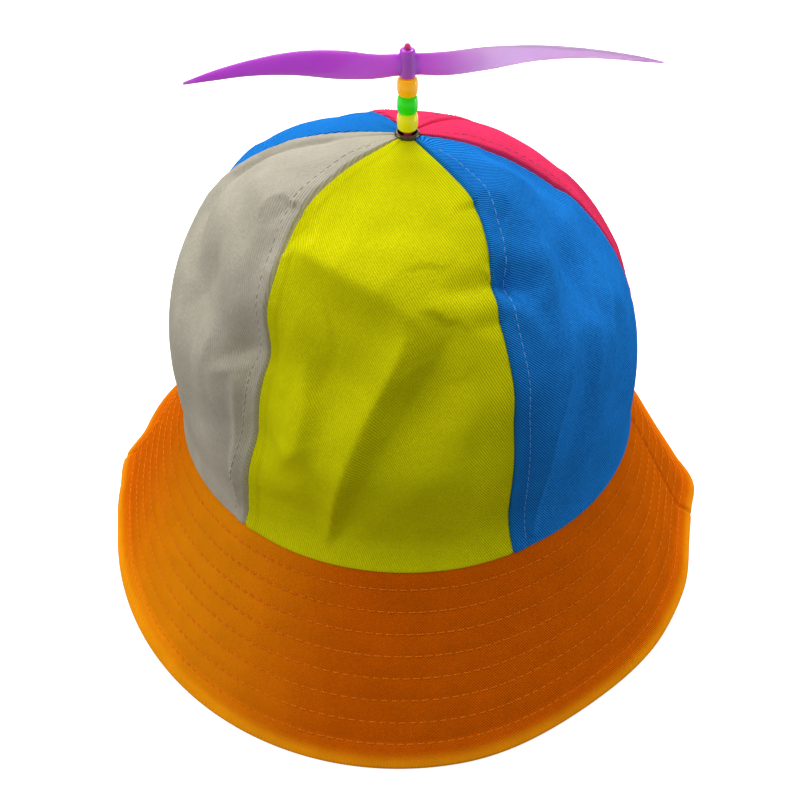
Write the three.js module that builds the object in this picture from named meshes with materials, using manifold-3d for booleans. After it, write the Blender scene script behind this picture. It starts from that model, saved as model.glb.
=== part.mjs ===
// A soft cotton cap with a full brim and a toy propeller on top.
//
// Six panels make the crown, two halves make the brim, and an eyelet at the top holds a pin that carries three
// barrel beads and a two-blade propeller. Millimetres, +Z up. The cap stands on its rim, the origin is on that
// plane under the middle of the crown, and the front of the cap faces -Y. Azimuths are degrees from the front,
// growing towards +X.

import * as THREE from 'three';
import Module from 'manifold-3d';
import { mergeVertices } from 'three/addons/utils/BufferGeometryUtils.js';

// Clearance between pieces that are sewn, set or threaded together.
const GAP = 0.3;

// Crown: half axes outside the wall at the sewn edge, height from there to the top, wall, and how far the panels
// stand out between their seams and at the sewn edge.
const CROWN_HALF_WIDTH = 88.7;
const CROWN_HALF_DEPTH = 90.5;
const CROWN_HEIGHT = 116;
const CROWN_WALL = 1.4;
const PANEL_BULGE = 1.6;
const EDGE_FLARE = 0.8;
const EDGE_FLARE_REACH = 7;

// The two front seams: their azimuth at the sewn edge, how far each turns away from the front towards the top, and
// where on the cloth it starts and ends to turn.
const FRONT_SEAM = 32;
const SEAM_SPREAD = 11;
const SPREAD_START = 88;
const SPREAD_END = 150;

// Brim: drop from the sewn edge to the surface it stands on, and the half axes of its oval rim.
const BRIM_DROP = 54;
const RIM_HALF_WIDTH = 122;
const RIM_HALF_DEPTH = 134;
const BRIM_THICKNESS = 2.3;
const HEM_WIDTH = 8;
const HEM_SLOPE = 37;
const RIM_PRESSED = 0.25;
const RIM_FACETS = 3;
const BRIM_ROWS = 7;
const BRIM_STEPS = 36;

// Eyelet set in the hole at the top of the crown.
const EYELET_RADIUS = 4.3;
const EYELET_HOLE_RADIUS = 3.0;
const EYELET_WALL = 0.5;
const EYELET_FLANGE = 1.0;
const EYELET_WASHER = 0.8;

// Pin with a disc foot inside the crown, a post through the eyelet and a pointed head above the hub.
const FOOT_RADIUS = 6.5;
const FOOT_THICKNESS = 1.6;
const POST_RADIUS = 1.3;
const POST_ABOVE_EYELET = 0.5;
const PIN_RADIUS = 0.7;
const HEAD_RADIUS = 1.15;
const HEAD_HEIGHT = 1.6;

// Barrel beads.
const BEAD_RADIUS = 3.55;
const BEAD_END_RADIUS = 2.7;
const BEAD_HEIGHT = 5.9;
const BEAD_HOLE_RADIUS = 1.1;

// Propeller hub.
const HUB_RADIUS = 2.6;
const HUB_HEIGHT = 9.3;
const HUB_DOME = 0.9;
const BORE_RADIUS = 0.95;
const BLADE_ROOT_HEIGHT = 4.4;
const BLADE_THICKNESS = 1.1;
const BLADE_STATIONS = 18;
const BLADE_SIDES = 8;
const PROPELLER_TURN = 13.4;

// Facets round a turned piece and along a rounded edge, and steps in which the crown's line is measured.
const TURNED_SIDES = 20;
const ROUND_FACETS = 3;
const LINE_SAMPLES = 600;

// Crown panels: the azimuths of their side seams, how finely each is faceted, and their cloth.
const PANELS = [
  { name: 'gore_front_yellow', from: -FRONT_SEAM, to: FRONT_SEAM, columns: 12, rows: 20, colour: 0xd6d414 },
  { name: 'gore_right_blue', from: FRONT_SEAM, to: 95.5, columns: 12, rows: 20, colour: 0x2b78c8 },
  { name: 'gore_right_back_red', from: 95.5, to: 150, columns: 8, rows: 16, colour: 0xbe2348 },
  { name: 'gore_back_red', from: 150, to: 210, columns: 9, rows: 16, colour: 0xbe2348 },
  { name: 'gore_left_back_blue', from: 210, to: 263.5, columns: 8, rows: 16, colour: 0x2b78c8 },
  { name: 'gore_left_grey', from: -96.5, to: -FRONT_SEAM, columns: 12, rows: 20, colour: 0xb0a892 },
];

// Where the soft rim leaves its oval: how far out it swells, or in where it is negative, and half its width in
// degrees. The side seams leave corners.
const RIM_SWELLS = [
  { what: 'corner at the left side seam', azimuth: -90, swell: 2.7, span: 9 },
  { what: 'left side', azimuth: -84, swell: 2.0, span: 16 },
  { what: 'left back', azimuth: -112, swell: 4.4, span: 26 },
  { what: 'right front', azimuth: 38, swell: -1.9, span: 22 },
  { what: 'right side', azimuth: 84, swell: -1.8, span: 14 },
  { what: 'corner at the right side seam', azimuth: 99, swell: 2.1, span: 8 },
  { what: 'right back', azimuth: 117, swell: -4.3, span: 22 },
];

// Fullness of the crown's shoulder round the head: the power of its rounding. The back sags lower than the front.
const SHOULDERS = [
  { azimuth: -180, power: 1.65 },
  { azimuth: -135, power: 2.2 },
  { azimuth: -110, power: 3.05 },
  { azimuth: -90, power: 3.5 },
  { azimuth: -45, power: 3.35 },
  { azimuth: 0, power: 3.1 },
  { azimuth: 45, power: 3.55 },
  { azimuth: 90, power: 2.5 },
  { azimuth: 110, power: 2.15 },
  { azimuth: 135, power: 1.95 },
  { azimuth: 180, power: 1.65 },
];

// Dents and folds of the crown. Each runs between two places, given by azimuth and by the distance up the cloth
// from the sewn edge; width is from its middle to where it dies out, and depth is negative for a valley.
const FOLDS = [
  { what: 'dent along the left front seam', az0: -31, up0: 42, az1: -32, up1: 68, width: 25, depth: -9.5 },
  { what: 'dent along the right front seam', az0: 32, up0: 18, az1: 32, up1: 56, width: 18, depth: -2.5 },
  { what: 'ledge across the front', az0: -22, up0: 112, az1: 7, up1: 100, width: 19, depth: 4.6 },
  { what: 'hollow under the ledge', az0: -14, up0: 75, az1: 6, up1: 68, width: 30, depth: -4.6 },
  { what: 'slanting valley down the front', az0: 13, up0: 86, az1: -6, up1: 22, width: 14, depth: -2.6 },
  { what: 'ridge beside the slanting valley', az0: 5, up0: 82, az1: -7, up1: 26, width: 13, depth: 3.4 },
  { what: 'bulge on the left of the front', az0: -16, up0: 74, az1: -17, up1: 44, width: 13, depth: 2.0 },
  { what: 'valley in the grey beside the seam', az0: -40, up0: 106, az1: -37, up1: 58, width: 10, depth: -2.4 },
  { what: 'ridge low on the grey', az0: -39, up0: 42, az1: -35, up1: 12, width: 9, depth: 2.0 },
  { what: 'soft fold down the grey', az0: -60, up0: 84, az1: -50, up1: 34, width: 12, depth: -2.0 },
  { what: 'hollow under the left side seam', az0: -91, up0: 104, az1: -90, up1: 132, width: 12, depth: -2.4 },
  { what: 'dent high on the blue', az0: 36, up0: 112, az1: 41, up1: 98, width: 11, depth: -3.2 },
  { what: 'ridge down the blue', az0: 56, up0: 113, az1: 48, up1: 86, width: 12, depth: 2.2 },
  { what: 'valley beside the ridge on the blue', az0: 74, up0: 114, az1: 62, up1: 94, width: 13, depth: -1.8 },
  { what: 'crease low on the blue', az0: 46, up0: 70, az1: 38, up1: 12, width: 9, depth: 2.6 },
  { what: 'soft fold down the blue', az0: 66, up0: 82, az1: 60, up1: 40, width: 12, depth: -2.0 },
  { what: 'hollow under the right side seam', az0: 88, up0: 134, az1: 88, up1: 110, width: 12, depth: -2.4 },
  { what: 'sag across the back', az0: 160, up0: 92, az1: 202, up1: 98, width: 18, depth: -3.0 },
  { what: 'soft fold down the right back', az0: 124, up0: 90, az1: 116, up1: 32, width: 14, depth: -2.4 },
  { what: 'soft fold down the left back', az0: 236, up0: 88, az1: 246, up1: 30, width: 14, depth: -2.4 },
];

// Propeller blade by share of its reach: chord, its pitch from level, and the rise of its middle above the root.
const BLADE = [
  { share: 0.02, chord: 7.2, pitch: 90, rise: -0.2 },
  { share: 0.13, chord: 8.2, pitch: 89, rise: -0.6 },
  { share: 0.3, chord: 9.1, pitch: 78, rise: 0.5 },
  { share: 0.5, chord: 7.3, pitch: 66, rise: 1.6 },
  { share: 0.7, chord: 4.9, pitch: 60, rise: 0.7 },
  { share: 0.87, chord: 3.0, pitch: 58, rise: -1.4 },
  { share: 1, chord: 0.9, pitch: 58, rise: -3.5 },
];

// The two blades: the way each points, and its reach from the axis.
const BLADES = [
  { turn: 0, reach: 83.5 },
  { turn: 180, reach: 71 },
];

const BEADS = [
  { name: 'bead_yellow', colour: 0xdcd81e },
  { name: 'bead_green', colour: 0x34cc0c },
  { name: 'bead_orange', colour: 0xf8b812 },
];

const radians = THREE.MathUtils.degToRad;

// A point of the cap from its azimuth, its distance from the axis and its height.
function place(azimuth, radius, height) {
  const turn = radians(azimuth);
  return new THREE.Vector3(radius * Math.sin(turn), -radius * Math.cos(turn), height);
}

// A closed mesh whose faces point outwards, with its shared corners welded.
function closed(positions, triangles) {
  let volume = 0;
  const corner = [new THREE.Vector3(), new THREE.Vector3(), new THREE.Vector3()];
  for (let i = 0; i < triangles.length; i += 3) {
    corner.forEach((point, k) => point.fromArray(positions, 3 * triangles[i + k]));
    volume += corner[0].dot(corner[1].clone().cross(corner[2]));
  }
  const outward = volume > 0 ? triangles : triangles.slice().reverse();
  const geometry = new THREE.BufferGeometry();
  geometry.setAttribute('position', new THREE.Float32BufferAttribute(positions, 3));
  geometry.setIndex(Array.from(outward));
  const welded = mergeVertices(geometry, 1e-4);
  welded.computeVertexNormals();
  return welded;
}

// A solid swept through closed loops of equal count. startFaces and endFaces are the triangles that close the first
// and the last loop, turning the same way as the loop itself runs.
function swept(loops, startFaces, endFaces) {
  const count = loops[0].length;
  const positions = loops.flat().flatMap((point) => point.toArray());
  const triangles = [];
  for (let i = 0; i + 1 < loops.length; i += 1) {
    for (let k = 0; k < count; k += 1) {
      const a = i * count + k;
      const b = i * count + (k + 1) % count;
      triangles.push(a, b, b + count, a, b + count, a + count);
    }
  }
  const last = (loops.length - 1) * count;
  for (const [a, b, c] of startFaces) {
    triangles.push(c, b, a);
  }
  for (const [a, b, c] of endFaces) {
    triangles.push(last + a, last + b, last + c);
  }
  return closed(positions, triangles);
}

// Triangles that close the end of a wall whose loop runs up its outer face and back down its inner face.
function wallFaces(count) {
  const faces = [];
  for (let k = 0; k + 1 < count / 2; k += 1) {
    faces.push([k, k + 1, count - 2 - k], [k, count - 2 - k, count - 1 - k]);
  }
  return faces;
}

// Triangles that close a flat outline.
function flatFaces(outline) {
  const faces = THREE.ShapeUtils.triangulateShape(outline, []);
  const [a, b, c] = faces[0].map((index) => outline[index]);
  const turn = (b.x - a.x) * (c.y - a.y) - (b.y - a.y) * (c.x - a.x);
  const same = Math.sign(turn) === Math.sign(THREE.ShapeUtils.area(outline));
  return same ? faces : faces.map((face) => face.slice().reverse());
}

// Points of an elliptical arc between two angles, both ends included.
function arc(x, y, radiusX, radiusY, from, to, steps) {
  return Array.from({ length: steps + 1 }, (_, i) => {
    const angle = THREE.MathUtils.lerp(from, to, i / steps);
    return new THREE.Vector2(x + radiusX * Math.cos(angle), y + radiusY * Math.sin(angle));
  });
}

// A round piece turned from a profile whose x is the radius and y the height.
function turned(profile) {
  const lathe = new THREE.LatheGeometry(profile, TURNED_SIDES);
  lathe.rotateX(Math.PI / 2);
  lathe.deleteAttribute('normal');
  lathe.deleteAttribute('uv');
  const welded = mergeVertices(lathe, 1e-4);
  const index = Array.from(welded.index.array);
  const triangles = [];
  for (let i = 0; i < index.length; i += 3) {
    const [a, b, c] = index.slice(i, i + 3);
    if (a !== b && b !== c && c !== a) {
      triangles.push(a, b, c);
    }
  }
  return closed(Array.from(welded.attributes.position.array), triangles);
}

// A named piece with a finish of its own.
function piece(name, geometry, colour, roughness, metalness) {
  const material = new THREE.MeshStandardMaterial({ color: colour, roughness, metalness });
  const mesh = new THREE.Mesh(geometry, material);
  mesh.name = name;
  return mesh;
}

// Distance from the axis to an oval with the given half axes.
function ovalRadius(azimuth, halfWidth, halfDepth) {
  const turn = radians(azimuth);
  return 1 / Math.hypot(Math.sin(turn) / halfWidth, Math.cos(turn) / halfDepth);
}

// The same azimuth between -180 and 180.
function wrapped(azimuth) {
  return ((azimuth + 540) % 360) - 180;
}

// Power of the shoulder's rounding at an azimuth, eased between the rows of the table.
function shoulderPower(azimuth) {
  const at = wrapped(azimuth);
  const k = Math.min(SHOULDERS.length - 1, Math.max(1, SHOULDERS.findIndex((row) => row.azimuth > at)));
  const low = SHOULDERS[k - 1];
  const high = SHOULDERS[k];
  const share = THREE.MathUtils.smoothstep(at, low.azimuth, high.azimuth);
  return THREE.MathUtils.lerp(low.power, high.power, share);
}

const crownLines = new Map();

// The smooth crown's line at an azimuth from the sewn edge to the eyelet, measured along the cloth.
function crownLine(azimuth) {
  if (crownLines.has(azimuth)) {
    return crownLines.get(azimuth);
  }
  const base = ovalRadius(azimuth, CROWN_HALF_WIDTH, CROWN_HALF_DEPTH);
  const power = shoulderPower(azimuth);
  const end = EYELET_HOLE_RADIUS + EYELET_WALL + GAP;
  const topShare = (1 - (end / base) ** 2) ** (1 / power);
  const line = [];
  let up = 0;
  for (let i = 0; i <= LINE_SAMPLES; i += 1) {
    const share = topShare * (1 - (1 - i / LINE_SAMPLES) ** 2);
    const radius = base * Math.sqrt(1 - share ** power);
    const height = CROWN_HEIGHT * share;
    const before = line[i - 1];
    up += before ? Math.hypot(radius - before.radius, height - before.height) : 0;
    line.push({ up, radius, height });
  }
  crownLines.set(azimuth, line);
  return line;
}

// Length of the cloth from the sewn edge to the eyelet at an azimuth.
function clothLength(azimuth) {
  return crownLine(azimuth)[LINE_SAMPLES].up;
}

// Distance from the axis, height and outward direction of the smooth crown at a distance up the cloth.
function crownLineAt(azimuth, up) {
  const line = crownLine(azimuth);
  let k = 1;
  while (k < LINE_SAMPLES && line[k].up < up) {
    k += 1;
  }
  const low = line[k - 1];
  const high = line[k];
  const share = (up - low.up) / (high.up - low.up);
  const step = Math.hypot(high.radius - low.radius, high.height - low.height);
  return {
    radius: THREE.MathUtils.lerp(low.radius, high.radius, share),
    height: THREE.MathUtils.lerp(low.height, high.height, share),
    outward: (high.height - low.height) / step,
    upward: (low.radius - high.radius) / step,
  };
}

// 1 in the middle, falling smoothly to 0 at distance 1.
function bell(distance) {
  return Math.abs(distance) < 1 ? Math.cos((Math.PI / 2) * distance) ** 2 : 0;
}

// How far one fold moves the cloth at a place. The cloth is unrolled round the fold's own middle height.
function foldAt(fold, azimuth, up) {
  const middle = crownLineAt((fold.az0 + fold.az1) / 2, (fold.up0 + fold.up1) / 2).radius;
  const along = radians(fold.az1 - fold.az0) * middle;
  const rise = fold.up1 - fold.up0;
  const length = Math.hypot(along, rise);
  const across = radians(wrapped(azimuth - fold.az0)) * middle;
  const climb = up - fold.up0;
  const progress = (across * along + climb * rise) / length;
  const beyond = Math.max(0, -progress, progress - length);
  const aside = (climb * along - across * rise) / length;
  return fold.depth * bell(Math.hypot(aside, beyond) / fold.width);
}

// Azimuth of a seam at a distance up the cloth.
function seamAzimuth(seam, up) {
  const spread = Math.abs(seam) === FRONT_SEAM ? SEAM_SPREAD : 0;
  return seam + Math.sign(seam) * spread * THREE.MathUtils.smoothstep(up, SPREAD_START, SPREAD_END);
}

// How far the cloth stands out of the smooth crown: the panel's own fullness, the edge's flare and the folds. side
// is 0 at one seam of the panel and 1 at the other.
function clothLift(side, azimuth, up) {
  const rise = up / clothLength(azimuth);
  const fullness = PANEL_BULGE * Math.sin(Math.PI * side) * Math.sin(Math.PI * rise);
  const flare = EDGE_FLARE * bell(Math.min(1, up / EDGE_FLARE_REACH));
  const folds = FOLDS.reduce((sum, fold) => sum + foldAt(fold, azimuth, up), 0);
  return fullness + flare + folds;
}

// One crown panel: a thin wall between two side seams, from the sewn edge to the eyelet.
function crownPanel(panel) {
  const loops = [];
  for (let i = 0; i <= panel.columns; i += 1) {
    const side = i / panel.columns;
    const sewnAzimuth = THREE.MathUtils.lerp(panel.from, panel.to, side);
    const inset = i === 0 ? GAP / 2 : i === panel.columns ? -GAP / 2 : 0;
    const outer = [];
    const inner = [];
    const azimuths = [];
    for (let j = 0; j <= panel.rows; j += 1) {
      const climb = j / panel.rows;
      const nearly = clothLength(sewnAzimuth) * climb;
      const azimuth = THREE.MathUtils.lerp(seamAzimuth(panel.from, nearly), seamAzimuth(panel.to, nearly), side);
      const up = clothLength(azimuth) * climb;
      const line = crownLineAt(azimuth, up);
      const lift = clothLift(side, azimuth, up);
      azimuths.push(azimuth);
      const seat = j === 0 ? { outward: 1, upward: 0 } : line;
      outer.push(new THREE.Vector2(line.radius + lift * seat.outward, line.height + lift * seat.upward));
      const under = lift - CROWN_WALL;
      inner.push(new THREE.Vector2(line.radius + under * seat.outward, line.height + under * seat.upward));
    }
    const eyeletEdge = outer[panel.rows].x;
    inner[panel.rows].x = eyeletEdge;
    const outline = [...outer, ...inner.reverse()];
    const turns = [...azimuths, ...azimuths.toReversed()];
    const seamTurn = (k) => turns[k] + THREE.MathUtils.radToDeg(inset / outline[k].x);
    loops.push(outline.map((point, k) => place(seamTurn(k), point.x, point.y)));
  }
  const ends = wallFaces(loops[0].length);
  return piece(panel.name, swept(loops, ends, ends), panel.colour, 0.9, 0);
}

// Distance from the axis to the rim at an azimuth: an oval with its swells.
function rimRadius(azimuth) {
  const oval = ovalRadius(azimuth, RIM_HALF_WIDTH, RIM_HALF_DEPTH);
  return RIM_SWELLS.reduce(
    (sum, part) => sum + part.swell * bell(wrapped(azimuth - part.azimuth) / part.span),
    oval,
  );
}

// The brim's outline across its width: down the upper face from the sewn edge, out along the hem, round the rim,
// along the narrow flat that it stands on, and back up the under face.
function brimOutline(azimuth) {
  const slope = radians(HEM_SLOPE);
  const half = BRIM_THICKNESS / 2;
  const sewn = ovalRadius(azimuth, CROWN_HALF_WIDTH, CROWN_HALF_DEPTH);
  const start = new THREE.Vector2(sewn, BRIM_DROP - GAP);
  const middle = new THREE.Vector2(rimRadius(azimuth) - half, half - RIM_PRESSED);
  const hemFace = new THREE.Vector2(Math.sin(slope), Math.cos(slope));
  const rimTop = middle.clone().addScaledVector(hemFace, half);
  const hem = rimTop.clone().add(new THREE.Vector2(-Math.cos(slope), Math.sin(slope)).multiplyScalar(HEM_WIDTH));
  const face = new THREE.Vector2(start.y - hem.y, hem.x - start.x).normalize();
  const bend = face.clone().add(hemFace).normalize();
  const upper = [];
  const under = [new THREE.Vector2(start.x - BRIM_THICKNESS, start.y)];
  for (let k = 0; k < BRIM_ROWS; k += 1) {
    upper.push(start.clone().lerp(hem, k / BRIM_ROWS));
    if (k > 0) {
      under.push(upper[k].clone().addScaledVector(face, -BRIM_THICKNESS));
    }
  }
  upper.push(hem);
  under.push(hem.clone().addScaledVector(bend, -BRIM_THICKNESS));
  const foot = -Math.asin(middle.y / half);
  const crest = Math.PI / 2 - slope;
  upper.push(...arc(middle.x, middle.y, half, half, crest, foot, RIM_FACETS));
  under.push(new THREE.Vector2(middle.x - half * hemFace.x, 0));
  upper[upper.length - 1].y = 0;
  return [...upper, ...under.reverse()];
}

// Half of the brim, between its two side seams.
function brimHalf(name, from, to) {
  const loops = [];
  const outlines = [];
  for (let i = 0; i <= BRIM_STEPS; i += 1) {
    const azimuth = THREE.MathUtils.lerp(from, to, i / BRIM_STEPS);
    const inset = i === 0 ? GAP / 2 : i === BRIM_STEPS ? -GAP / 2 : 0;
    const outline = brimOutline(azimuth);
    const seamTurn = (radius) => azimuth + THREE.MathUtils.radToDeg(inset / radius);
    loops.push(outline.map((point) => place(seamTurn(point.x), point.x, point.y)));
    outlines.push(outline);
  }
  const [startFaces, endFaces] = [outlines[0], outlines.at(-1)].map(flatFaces);
  return piece(name, swept(loops, startFaces, endFaces), 0xd2700a, 0.9, 0);
}

// Heights above the top of the cloth, going up the pin.
const EYELET_TOP = GAP + EYELET_FLANGE;
const EYELET_BOTTOM = -CROWN_WALL - GAP - EYELET_WASHER;
const BEADS_BOTTOM = EYELET_TOP + POST_ABOVE_EYELET + GAP;
const BEAD_PITCH = BEAD_HEIGHT + GAP;
const HUB_BOTTOM = BEADS_BOTTOM + BEADS.length * BEAD_PITCH;
const HUB_TOP = HUB_BOTTOM + HUB_HEIGHT;

// The eyelet: a rolled flange on the cloth, a short barrel through it and a washer under it.
function makeEyelet() {
  const barrel = EYELET_HOLE_RADIUS + EYELET_WALL;
  const washerTop = EYELET_BOTTOM + EYELET_WASHER;
  const rollHalf = (EYELET_RADIUS - EYELET_HOLE_RADIUS) / 2;
  const rollMiddle = EYELET_HOLE_RADIUS + rollHalf;
  const profile = [
    new THREE.Vector2(EYELET_HOLE_RADIUS, EYELET_BOTTOM),
    new THREE.Vector2(EYELET_RADIUS, EYELET_BOTTOM),
    new THREE.Vector2(EYELET_RADIUS, washerTop),
    new THREE.Vector2(barrel, washerTop),
    new THREE.Vector2(barrel, GAP),
    ...arc(rollMiddle, GAP, rollHalf, EYELET_FLANGE, 0, Math.PI, ROUND_FACETS),
    new THREE.Vector2(EYELET_HOLE_RADIUS, EYELET_BOTTOM),
  ];
  return piece('eyelet', turned(profile), 0x7c6a34, 0.4, 0.9);
}

// The pin: disc foot, post, thin shank and rounded head, in one piece.
function makeSpindle() {
  const footTop = EYELET_BOTTOM - GAP;
  const footBottom = footTop - FOOT_THICKNESS;
  const shoulder = BEADS_BOTTOM - GAP;
  const head = HUB_TOP + GAP;
  const profile = [
    new THREE.Vector2(0, footBottom),
    new THREE.Vector2(FOOT_RADIUS, footBottom),
    new THREE.Vector2(FOOT_RADIUS, footTop),
    new THREE.Vector2(POST_RADIUS, footTop),
    new THREE.Vector2(POST_RADIUS, shoulder),
    new THREE.Vector2(PIN_RADIUS, shoulder),
    new THREE.Vector2(PIN_RADIUS, head),
    ...arc(0, head, HEAD_RADIUS, HEAD_HEIGHT, 0, Math.PI / 2, ROUND_FACETS),
  ];
  profile[profile.length - 1].x = 0;
  return piece('spindle', turned(profile), 0xd0406c, 0.4, 0);
}

// A barrel bead standing on its own lower end.
function makeBead(bead) {
  const half = BEAD_HEIGHT / 2;
  const swell = BEAD_RADIUS - BEAD_END_RADIUS;
  const profile = [
    new THREE.Vector2(BEAD_HOLE_RADIUS, 0),
    ...arc(BEAD_END_RADIUS, half, swell, half, -Math.PI / 2, Math.PI / 2, 2 * ROUND_FACETS),
    new THREE.Vector2(BEAD_HOLE_RADIUS, BEAD_HEIGHT),
    new THREE.Vector2(BEAD_HOLE_RADIUS, 0),
  ];
  return piece(bead.name, turned(profile), bead.colour, 0.35, 0);
}

// A smooth value between the rows of a table, by the column it is laid out along.
function between(table, key, column, at) {
  const curve = new THREE.CubicInterpolant(
    table.map((row) => row[key]),
    table.map((row) => row[column]),
    1,
  );
  return curve.evaluate(at)[0];
}

// One blade along +X: thin oval sections that turn from upright at the hub to slanting at the tip.
function makeBlade(fullReach) {
  const root = BLADE[0].share;
  const loops = [];
  const outlines = [];
  for (let i = 0; i <= BLADE_STATIONS; i += 1) {
    const share = THREE.MathUtils.lerp(root, 1, i / BLADE_STATIONS);
    const chord = between(BLADE, 'share', 'chord', share);
    const pitch = radians(between(BLADE, 'share', 'pitch', share));
    const rise = between(BLADE, 'share', 'rise', share);
    const thick = Math.min(BLADE_THICKNESS, chord / 2);
    const outline = arc(0, 0, chord / 2, thick / 2, 0, 2 * Math.PI, BLADE_SIDES).slice(1);
    outlines.push(outline);
    loops.push(outline.map(({ x: across, y: out }) => new THREE.Vector3(
      share * fullReach,
      -across * Math.cos(pitch) + out * Math.sin(pitch),
      rise + across * Math.sin(pitch) + out * Math.cos(pitch),
    )));
  }
  const [startFaces, endFaces] = [outlines[0], outlines.at(-1)].map(flatFaces);
  return swept(loops, startFaces, endFaces);
}

// The propeller standing on its hub's lower end: two blades joined to a bored hub, each at the middle of a facet.
async function makePropeller() {
  const wasm = await Module();
  wasm.setup();
  const toSolid = (geometry) => new wasm.Manifold(new wasm.Mesh({
    numProp: 3,
    vertProperties: new Float32Array(geometry.attributes.position.array),
    triVerts: new Uint32Array(geometry.index.array),
  }));
  const domeBase = HUB_HEIGHT - HUB_DOME;
  const hub = turned([
    new THREE.Vector2(BORE_RADIUS, 0),
    new THREE.Vector2(HUB_RADIUS, 0),
    ...arc(HUB_RADIUS - HUB_DOME, domeBase, HUB_DOME, HUB_DOME, 0, Math.PI / 2, ROUND_FACETS),
    new THREE.Vector2(BORE_RADIUS, HUB_HEIGHT),
    new THREE.Vector2(BORE_RADIUS, 0),
  ]);
  hub.rotateZ(Math.PI / TURNED_SIDES);
  let solid = toSolid(hub);
  for (const { turn, reach } of BLADES) {
    const blade = makeBlade(reach);
    blade.rotateZ(radians(turn));
    blade.translate(0, 0, BLADE_ROOT_HEIGHT);
    solid = solid.add(toSolid(blade));
  }
  const joined = solid.getMesh();
  const geometry = closed(Array.from(joined.vertProperties), Array.from(joined.triVerts));
  return piece('propeller', geometry, 0x9a34b8, 0.2, 0);
}

const cap = new THREE.Group();

const crown = new THREE.Group();
crown.position.z = BRIM_DROP;
PANELS.forEach((panel) => crown.add(crownPanel(panel)));

const brim = new THREE.Group();
brim.add(brimHalf('brim_front', -90, 90), brimHalf('brim_back', 90, 270));

const top = new THREE.Group();
top.position.z = BRIM_DROP + CROWN_HEIGHT;
top.add(makeEyelet(), makeSpindle());
BEADS.forEach((bead, i) => {
  const mesh = makeBead(bead);
  mesh.position.z = BEADS_BOTTOM + i * BEAD_PITCH;
  top.add(mesh);
});

const propeller = await makePropeller();
propeller.position.z = HUB_BOTTOM;
propeller.rotation.z = radians(PROPELLER_TURN);
top.add(propeller);

cap.add(crown, brim, top);

export default cap;
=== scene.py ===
import math

import bmesh
import bpy
import numpy as np
from mathutils import Matrix, Vector, noise


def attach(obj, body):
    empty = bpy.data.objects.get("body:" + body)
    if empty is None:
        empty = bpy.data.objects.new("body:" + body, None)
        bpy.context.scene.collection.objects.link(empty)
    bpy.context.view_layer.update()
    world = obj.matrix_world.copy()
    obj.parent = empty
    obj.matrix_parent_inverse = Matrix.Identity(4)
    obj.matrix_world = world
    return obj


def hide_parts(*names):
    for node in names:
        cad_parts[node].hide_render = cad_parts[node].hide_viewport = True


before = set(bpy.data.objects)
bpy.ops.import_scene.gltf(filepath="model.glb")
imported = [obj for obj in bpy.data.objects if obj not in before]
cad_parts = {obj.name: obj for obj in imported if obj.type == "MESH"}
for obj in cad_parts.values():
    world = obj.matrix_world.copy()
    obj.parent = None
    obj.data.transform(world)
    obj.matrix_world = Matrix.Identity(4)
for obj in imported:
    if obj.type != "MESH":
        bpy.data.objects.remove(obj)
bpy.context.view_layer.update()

# The crown's six panels: soft cotton twill in yellow, blue, red and unbleached grey, cut as gores and sewn
# side to side. Each seam's allowance is turned to one side, where it makes a raised band, and the worn cloth
# keeps its creases. Sizes are in millimetres, and each mesh is brought to metres when it is finished.
MM = 0.001
SEWN_EDGE_HEIGHT = 54.0
CROWN_HALF_WIDTH = 88.7
CROWN_HALF_DEPTH = 90.5
CROWN_HEIGHT = 116.0
CROWN_HOLE_RADIUS = 3.8
CLOTH_THICKNESS = 1.2
PANEL_FULLNESS = 1.6
PANEL_COLUMNS = 104
PANEL_ROWS = 156
LINE_SAMPLES = 500

# The sewn edge: it flares onto the brim under a hollow, fully at the front, from one cosine of the azimuth to
# another, and less at the sides and back. Its last rows roll under, and it is pulled down onto the brim.
EDGE_FLARE = 5.7
EDGE_FLARE_REACH = 11.0
EDGE_HOLLOW = 4.6
EDGE_HOLLOW_TOP = 46.0
SIDE_FLARE_SHARE = 0.25
FRONT_COSINES = (0.78, 0.97)
EDGE_ROLL = 1.3
EDGE_ROLL_ROWS = 5
EDGE_DROP = 0.8
EDGE_DROP_REACH = 6.0

# The seams: how far they pull the cloth in, less at the sewn edge, the height and size of the puckers beside
# them, and the band of the allowance with its stitched groove, which narrows where the panel does.
SEAM_DEPTH = 1.0
SEAM_REACH = 0.6
SEAM_EDGE_SHARE = 0.2
SEAM_EDGE_REACH = 6.0
SEAM_CROWDING = 0.72
PUCKER = (0.22, 3.4)
PUCKER_START = 2.0
PUCKER_REACH = 7.0
BAND_WIDTH = 5.0
BAND_RISE = 0.35
BAND_START = (0.3, 1.6)
BAND_END = (4.0, 5.8)
FULL_BAND_PANEL = 20.0
NARROWEST_BAND = 0.2
STITCH_GROOVE = 0.16
STITCH_GROOVE_REACH = 0.7
STITCH_PULL = 0.3
CROWN_STITCH_PITCH = 3.0

# Wear: the height and size of broad and fine lumps in the cloth, and how far from its ends it lies still.
BROAD_WEAR = (0.5, 24.0)
FINE_WEAR = (0.16, 8.0)
EDGE_STILL = 12.0
TOP_STILL = 14.0

# The two front seams part towards the top: their azimuth at the sewn edge, how far each turns away from the
# front, in degrees, and where on the cloth it starts and ends to turn.
FRONT_SEAM = 32
SEAM_SPREAD = 11.0
SPREAD_START = 88.0
SPREAD_END = 150.0

# Power of the shoulder's rounding by azimuth, in degrees from the front towards the wearer's left.
SHOULDERS = [
    (-180, 1.65), (-135, 2.2), (-110, 3.05), (-90, 3.5), (-45, 3.35), (0, 3.1), (45, 3.55), (90, 2.5),
    (110, 2.15), (135, 1.95), (180, 1.65),
]

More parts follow.
